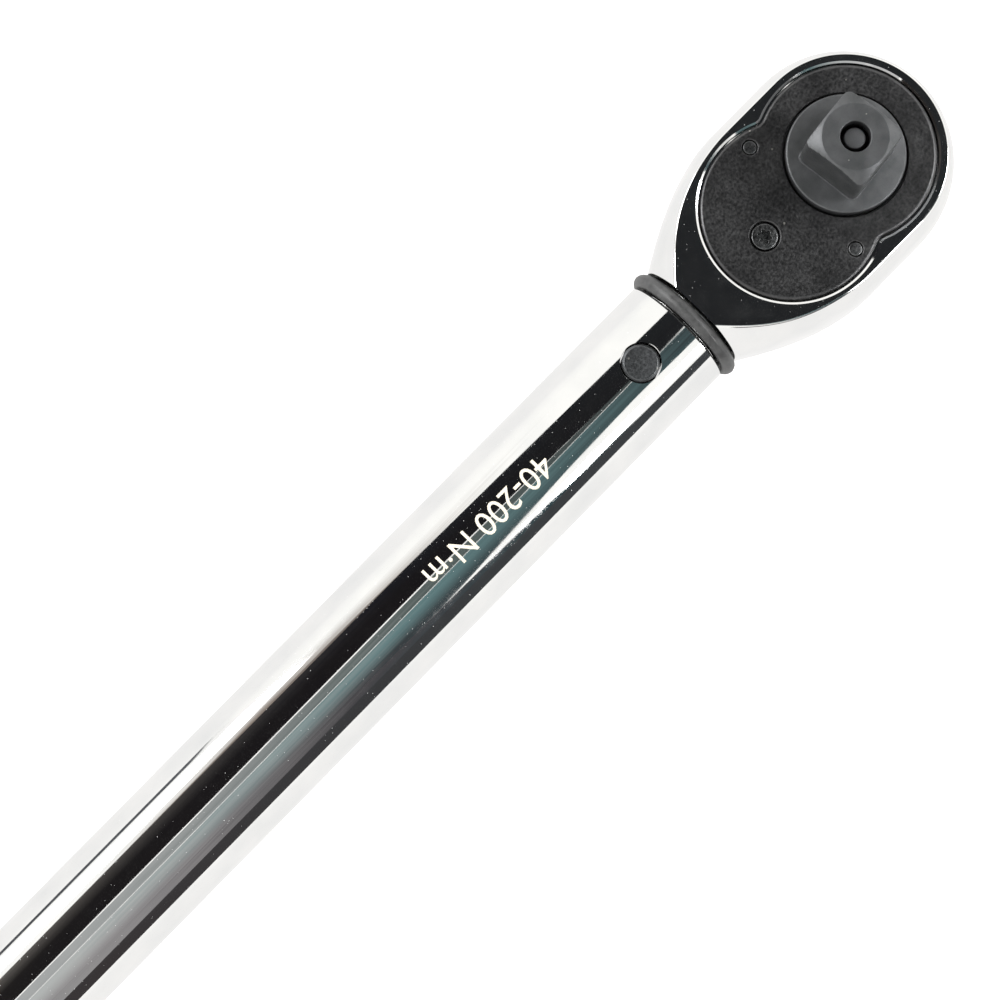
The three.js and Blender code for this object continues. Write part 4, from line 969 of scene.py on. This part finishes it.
def make_knob():
    """A knob with a straight knurl round it and a turned dish in its end."""
    ribs = 60
    ribbed = lambda a: KNOB_R - 0.45 * (1 - abs(math.sin(ribs * a / 2))) ** 1.5
    end, front, stem = KNOB_END_X, KNOB_FRONT_X, high("lock_knob").x
    stations = [(end + 0.9, 6.0), (end + 0.6, 9.0), (end, 9.6), (end, KNOB_R - 2.2),
                (end + 0.4, KNOB_R - 1.6), (end + 1.9, KNOB_R - 0.45), (end + 2.4, ribbed),
                (front - 2.0, ribbed),
                (front - 1.5, KNOB_R - 0.45), (front - 0.3, KNOB_R - 1.2), (front, KNOB_R - 1.4),
                (front, 6.0), (stem - 0.4, 6.0), (stem, 5.6)]
    knob = skin(stations, ribs * 6, closed_end=True)
    bore_end, bore_r = low("lock_rod").x - FIT, 2.5
    cut(knob, turned([(bore_end, 0), (bore_end, bore_r), (stem + CUT, bore_r), (stem + CUT, 0)]))
    settle(knob, "lock_knob_knurled", "knob", KNOB_BLACK, ["lock_knob"], sharp=30)


# Markings

def text_solid(words, height, length=None):
    """Words as one flat solid, centred, with capitals of that height and the words of that length."""
    curve = bpy.data.curves.new("words", "FONT")
    curve.body = words
    curve.extrude = 0.5
    curve.resolution_u = 4
    curve.align_x = "CENTER"
    curve.align_y = "CENTER"
    shape = bpy.data.objects.new("words", curve)
    bpy.context.scene.collection.objects.link(shape)
    bpy.context.view_layer.update()
    mesh = bpy.data.meshes.new_from_object(shape.evaluated_get(bpy.context.evaluated_depsgraph_get()))
    bpy.data.objects.remove(shape)
    xs, ys = [v.co.x for v in mesh.vertices], [v.co.y for v in mesh.vertices]
    scale_y = height / (max(ys) - min(ys))
    scale_x = length / (max(xs) - min(xs)) if length else scale_y
    middle = Vector(((max(xs) + min(xs)) / 2, (max(ys) + min(ys)) / 2, 0))
    mesh.transform(Matrix.Diagonal((scale_x, scale_y, 1, 1)) @ Matrix.Translation(-middle))
    return mesh


def bar_solid(length, width):
    """A flat bar, length along x."""
    x, y = length / 2, width / 2
    shape = prism([(-x, -y), (x, -y), (x, y), (-x, y)], -0.5, 0.5)
    mesh = shape.data
    bpy.data.objects.remove(shape)
    return mesh


def wrapped(target, mesh, x, angle, radius, reading, sunk=0.05, proud=0.012):
    """Bends a flat solid round a cylinder about X and adds it to target. reading is the turn of its text
    direction: 0 runs it along +X, 180 along -X, 90 round the cylinder."""
    work = bmesh.new()
    work.from_mesh(mesh)
    bmesh.ops.remove_doubles(work, verts=work.verts, dist=1e-4)
    bmesh.ops.rotate(work, verts=work.verts, matrix=Matrix.Rotation(math.radians(reading), 3, "Z"))
    ys = [v.co.y for v in work.verts]
    slices = int((max(ys) - min(ys)) / 0.35)
    for i in range(1, slices + 1):
        y = min(ys) + (max(ys) - min(ys)) * i / (slices + 1)
        geometry = work.verts[:] + work.edges[:] + work.faces[:]
        bmesh.ops.bisect_plane(work, geom=geometry, plane_co=(0, y, 0), plane_no=(0, 1, 0))
    for v in work.verts:
        around = angle + v.co.y / radius(x + v.co.x)
        r = radius(x + v.co.x) + (proud if v.co.z > 0 else -sunk)
        v.co = (x + v.co.x, r * math.sin(around), r * math.cos(around))
    work.to_mesh(mesh)
    work.free()
    target.append(mesh)


def gathered(meshes, name, body, material):
    verts, faces = [], []
    for mesh in meshes:
        offset = len(verts)
        verts += [v.co.copy() for v in mesh.vertices]
        faces += [[i + offset for i in face.vertices] for face in mesh.polygons]
        bpy.data.meshes.remove(mesh)
    return settle(raw(verts, faces), name, body, material)


def make_range_mark():
    """The wrench's range, etched along the tube where it reads from the far side."""
    marks = []
    wrapped(marks, text_solid("40-200 N·m", 4.5, 30.0), -92.0, math.radians(-2.5), lambda x: TUBE_R, 180)
    gathered(marks, "range_mark_etched", "tube", ETCHED)


def make_main_scale():
    """Lines and numbers on the tube that the handle's edge covers as the setting rises."""
    marks = []
    turn_pitch = 2.0
    edge = HANDLE_FRONT_X
    wrapped(marks, bar_solid(34.0, 0.22), edge + 16.0, 0, lambda x: TUBE_R, 0)
    for i in range(17):
        long_line = i % 4 == 0
        x = edge + 0.35 + i * turn_pitch
        mark = bar_solid(0.22, 4.4 if long_line else 2.4)
        wrapped(marks, mark, x, math.radians(-11 if long_line else -6), lambda x: TUBE_R, 0)
        if long_line:
            wrapped(marks, text_solid(str(40 + 10 * i), 2.4), x, math.radians(-38), lambda x: TUBE_R, 90)
    gathered(marks, "main_scale_engraved", "tube", ENAMEL)


def make_thimble_scale():
    """Ten divisions round the handle's bevel, one for each newton metre of a turn."""
    marks = []
    slope = (THIMBLE_R - THIMBLE_LIP_R) / 9.5
    bevel = lambda x: THIMBLE_R - max(x - (HANDLE_FRONT_X - BEVEL_LENGTH), 0) * slope
    for i in range(20):
        angle = math.radians(18 * i)
        whole = i % 2 == 0
        length = 4.0 if whole else 2.4
        wrapped(marks, bar_solid(length, 0.25), HANDLE_FRONT_X - 0.6 - length / 2, angle, bevel, 0)
        if whole:
            number = text_solid(str(i // 2), 2.6)
            wrapped(marks, number, HANDLE_FRONT_X - 13.0, angle, lambda x: THIMBLE_R, 90)
    gathered(marks, "thimble_scale_engraved", "handle", ENAMEL)


# Stage

def make_stage():
    floor = raw([(-6000, -6000, 0), (6000, -6000, 0), (6000, 6000, 0), (-6000, 6000, 0)], [[0, 1, 2, 3]])
    floor.name = "studio_floor"
    floor.data.transform(Matrix.Translation((0, 0, CAD_BOUNDS[0][2] - 0.0002)) @ Matrix.Scale(MM, 4))
    floor.data.materials.append(studio_paper("matt_studio_paper"))
    floor.visible_glossy = False
    white_edge = 0.02  # leaves a thin white line between two cards
    cards = [
        # name, corners in metres, colours along x, then the second row, what it shades over, and that axis
        ("card_overhead",
         [(0.8, 0.6, 1), (0.38, 0.72, 1), (0.17, 1.25, 1), (0.03, 1.13, 1), (-0.4, 0.92, 1),
          (-0.4, -0.06, 1), (0.19, 0.06, 1), (0.32, -0.10, 1), (0.8, -0.10, 1)],
         ["#2B2826", "#1F1D1E", "#1B191B", "#232527"],
         ["#9A958F", "#5A5653", "#1F2026", "#232527"], (0.45, 1.2)),
        ("card_overhead_strip",
         [(0.34, -0.10, 1), (0.19, 0.04 - white_edge, 1), (-0.4, -0.06 - white_edge, 1),
          (-0.4, -0.34, 1), (0.03, -0.30, 1), (0.20, -0.24, 1), (0.34, -0.13, 1)],
         ["#C8C8C8", "#B0B2B2", "#5E6866", "#2A2B2D"]),
        ("card_low_near",
         [(0.8, -0.10, 1), (0.34, -0.14, 1), (0.20, -0.255, 1), (0.03, -0.315, 1), (-0.4, -0.35, 1),
          (-0.4, -0.95, 1), (0.15, -1.2, 1), (0.24, -1.33, 1), (0.27, -1.03, 1), (0.30, -0.79, 1),
          (0.34, -0.69, 1), (0.38, -0.75, 1), (0.8, -0.80, 1)],
         ["#D0D0D0", "#BEC1C0", "#688688", "#303336"],
         ["#ACACAC", "#9E9B9C", "#3C4043", "#4A666A"], (-0.45, -1.0)),
        ("card_low_far",
         [(-0.4, -0.95, 1), (0.15, -1.2, 1), (0.24, -1.33, 1), (0.38, -1.75, 1), (0.54, -2.39, 1),
          (0.60, -2.9, 1), (-0.4, -2.9, 1)],
         ["#A8A8A8", "#959293", "#4A484B", "#33454A"]),
        ("card_right_wall", [(-0.5, -0.8, 0.38), (0.20, -0.8, 0.38), (0.34, -0.8, 0.30), (0.34, -0.8, 0.07),
                             (0.13, -0.8, 0.03), (-0.5, -0.8, 0.01)],
         ["#454243", "#3D393A", "#3F4143", "#44474A"]),
        ("card_left_line", [(-0.5, 0.8, 0.11), (0.06, 0.8, 0.11), (0.07, 0.8, 0.02), (-0.5, 0.8, 0.02)],
         ["#54565A", "#54565A", "#6B6E74", "#9A9DA2"]),
        ("card_far_blur", [(0.0, 0.8, 0.75), (0.26, 0.8, 0.75), (0.26, 0.8, 0.25), (0.0, 0.8, 0.25)],
         ["#A79C92", "#A0948A", "#978B82", "#978B82"], [], (0.3, 0.66), "Z"),
    ]
    for name, corners, *shades in cards:
        flag = raw(corners, [list(range(len(corners)))])
        flag.name = name
        flag.data.materials.append(card(name, *shades))
        flag.visible_camera = flag.visible_diffuse = flag.visible_shadow = flag.visible_transmission = False


def make_light():
    world = bpy.data.worlds.new("studio")
    bpy.context.scene.world = world
    world.use_nodes = True
    tree = world.node_tree
    tree.nodes.clear()
    direction = add(tree, "ShaderNodeTexCoord", {}).outputs["Generated"]
    upward = add(tree, "ShaderNodeSeparateXYZ", {}, [(0, direction)]).outputs["Z"]
    lift = add(tree, "ShaderNodeMath", {"operation": "MULTIPLY_ADD", 1: 0.5, 2: 0.5}, [(0, upward)])
    sky = ramp(tree, lift.outputs[0], [(0.0, colour("#EEEDEC")), (0.42, colour("#F2F1F0")),
                                       (0.5, colour("#FAF9F7")), (0.6, colour("#FFFEFB")),
                                       (1.0, colour("#FFFEFB"))])
    back = add(tree, "ShaderNodeBackground", {"Strength": 1.16}, [("Color", sky)])
    add(tree, "ShaderNodeOutputWorld", {}, [("Surface", back.outputs[0])])
    # name, place, size across and up, watts, and whether it shows in reflections
    lamps = [("key_softbox", (-0.4, 1.1, 1.1), (1.2, 0.8), 9.0, False),
             ("side_softbox", (0.38, -0.95, 0.62), (0.22, 0.26), 3.0, True),
             ("rear_softbox", (-0.12, 1.3, 0.55), (0.5, 0.5), 5.0, True),
             ("far_softbox", (-0.62, 1.05, 0.85), (0.35, 0.35), 8.0, True),
             ("near_softbox", (0.82, -0.46, 0.9), (0.25, 0.25), 4.0, True)]
    for name, place, (wide, tall), watts, shows in lamps:
        lamp = bpy.data.objects.new(name, bpy.data.lights.new(name, "AREA"))
        lamp.data.energy = watts
        lamp.data.shape = "RECTANGLE"
        lamp.data.size, lamp.data.size_y = wide, tall
        lamp.location = place
        lamp.rotation_euler = (Vector((0.2, 0, 0)) - lamp.location).to_track_quat("-Z", "Y").to_euler()
        lamp.visible_glossy = shows
        bpy.context.scene.collection.objects.link(lamp)


def make_camera():
    data = bpy.data.cameras.new("camera")
    data.lens = 138.8
    data.sensor_width = 36.0
    data.clip_start = 0.01
    camera = bpy.data.objects.new("camera", data)
    camera.location = (0.0510, -0.0430, 0.7072)
    camera.rotation_euler = [math.radians(a) for a in (7.033, -1.749, -45.680)]
    bpy.context.scene.collection.objects.link(camera)
    bpy.context.scene.camera = camera
    bpy.context.scene.view_settings.view_transform = "Standard"


def make_pushed_springs():
    """Two coil springs, copied from the frame's pieces with spring wire on them; the copies keep the frame's
    shapes."""
    springs = [("main_spring", "seat", "tube", 0), ("release_spring", "release_rod", "drive", 2)]
    for node, low_body, high_body, axis in springs:
        spring = bpy.data.objects.new(f"{node}_wound", frame["nodes"][node].data.copy())
        bpy.context.scene.collection.objects.link(spring)
        spring.data.materials.clear()
        spring.data.materials.append(SPRING_STEEL)
        lowest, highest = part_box(node)
        start = [(a + b) / 2 for a, b in zip(lowest, highest)]
        end = list(start)
        start[axis], end[axis] = lowest[axis], highest[axis]
        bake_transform(spring)
        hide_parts(node)


def finish_inner_pieces():
    """The pieces inside keep the frame's shapes and get their own finishes."""
    finishes = [
        (TURNED_STEEL, "selector_ring", "plunger", "spring_seat", "adjusting_screw", "handle_plug",
         "lock_rod"),
        (BEARING_STEEL, "tilt_block", "thrust_ball", "nut_pin_left", "nut_pin_right", "plug_pin_left",
         "plug_pin_right"),
        (PAWL_GREY, "pawl_left", "pawl_right"),
        (SPRING_STEEL, "pawl_spring"),
        (BRASS, "screw_nut", "lock_pad"),
        (RUBBER, "drag_ring"),
    ]
    for material, *names in finishes:
        for name in names:
            piece = frame["nodes"][name]
            piece.data.materials.clear()
            piece.data.materials.append(material)


make_camera()
make_light()
make_stage()
make_head()
make_cover()
make_cover_screw()
make_pawl_pins()
make_drive()
make_release()
make_lever()
make_o_ring()
make_pivot_pin()
make_tube()
make_handle()
make_knob()
make_range_mark()
make_main_scale()
make_thimble_scale()
make_pushed_springs()
finish_inner_pieces()
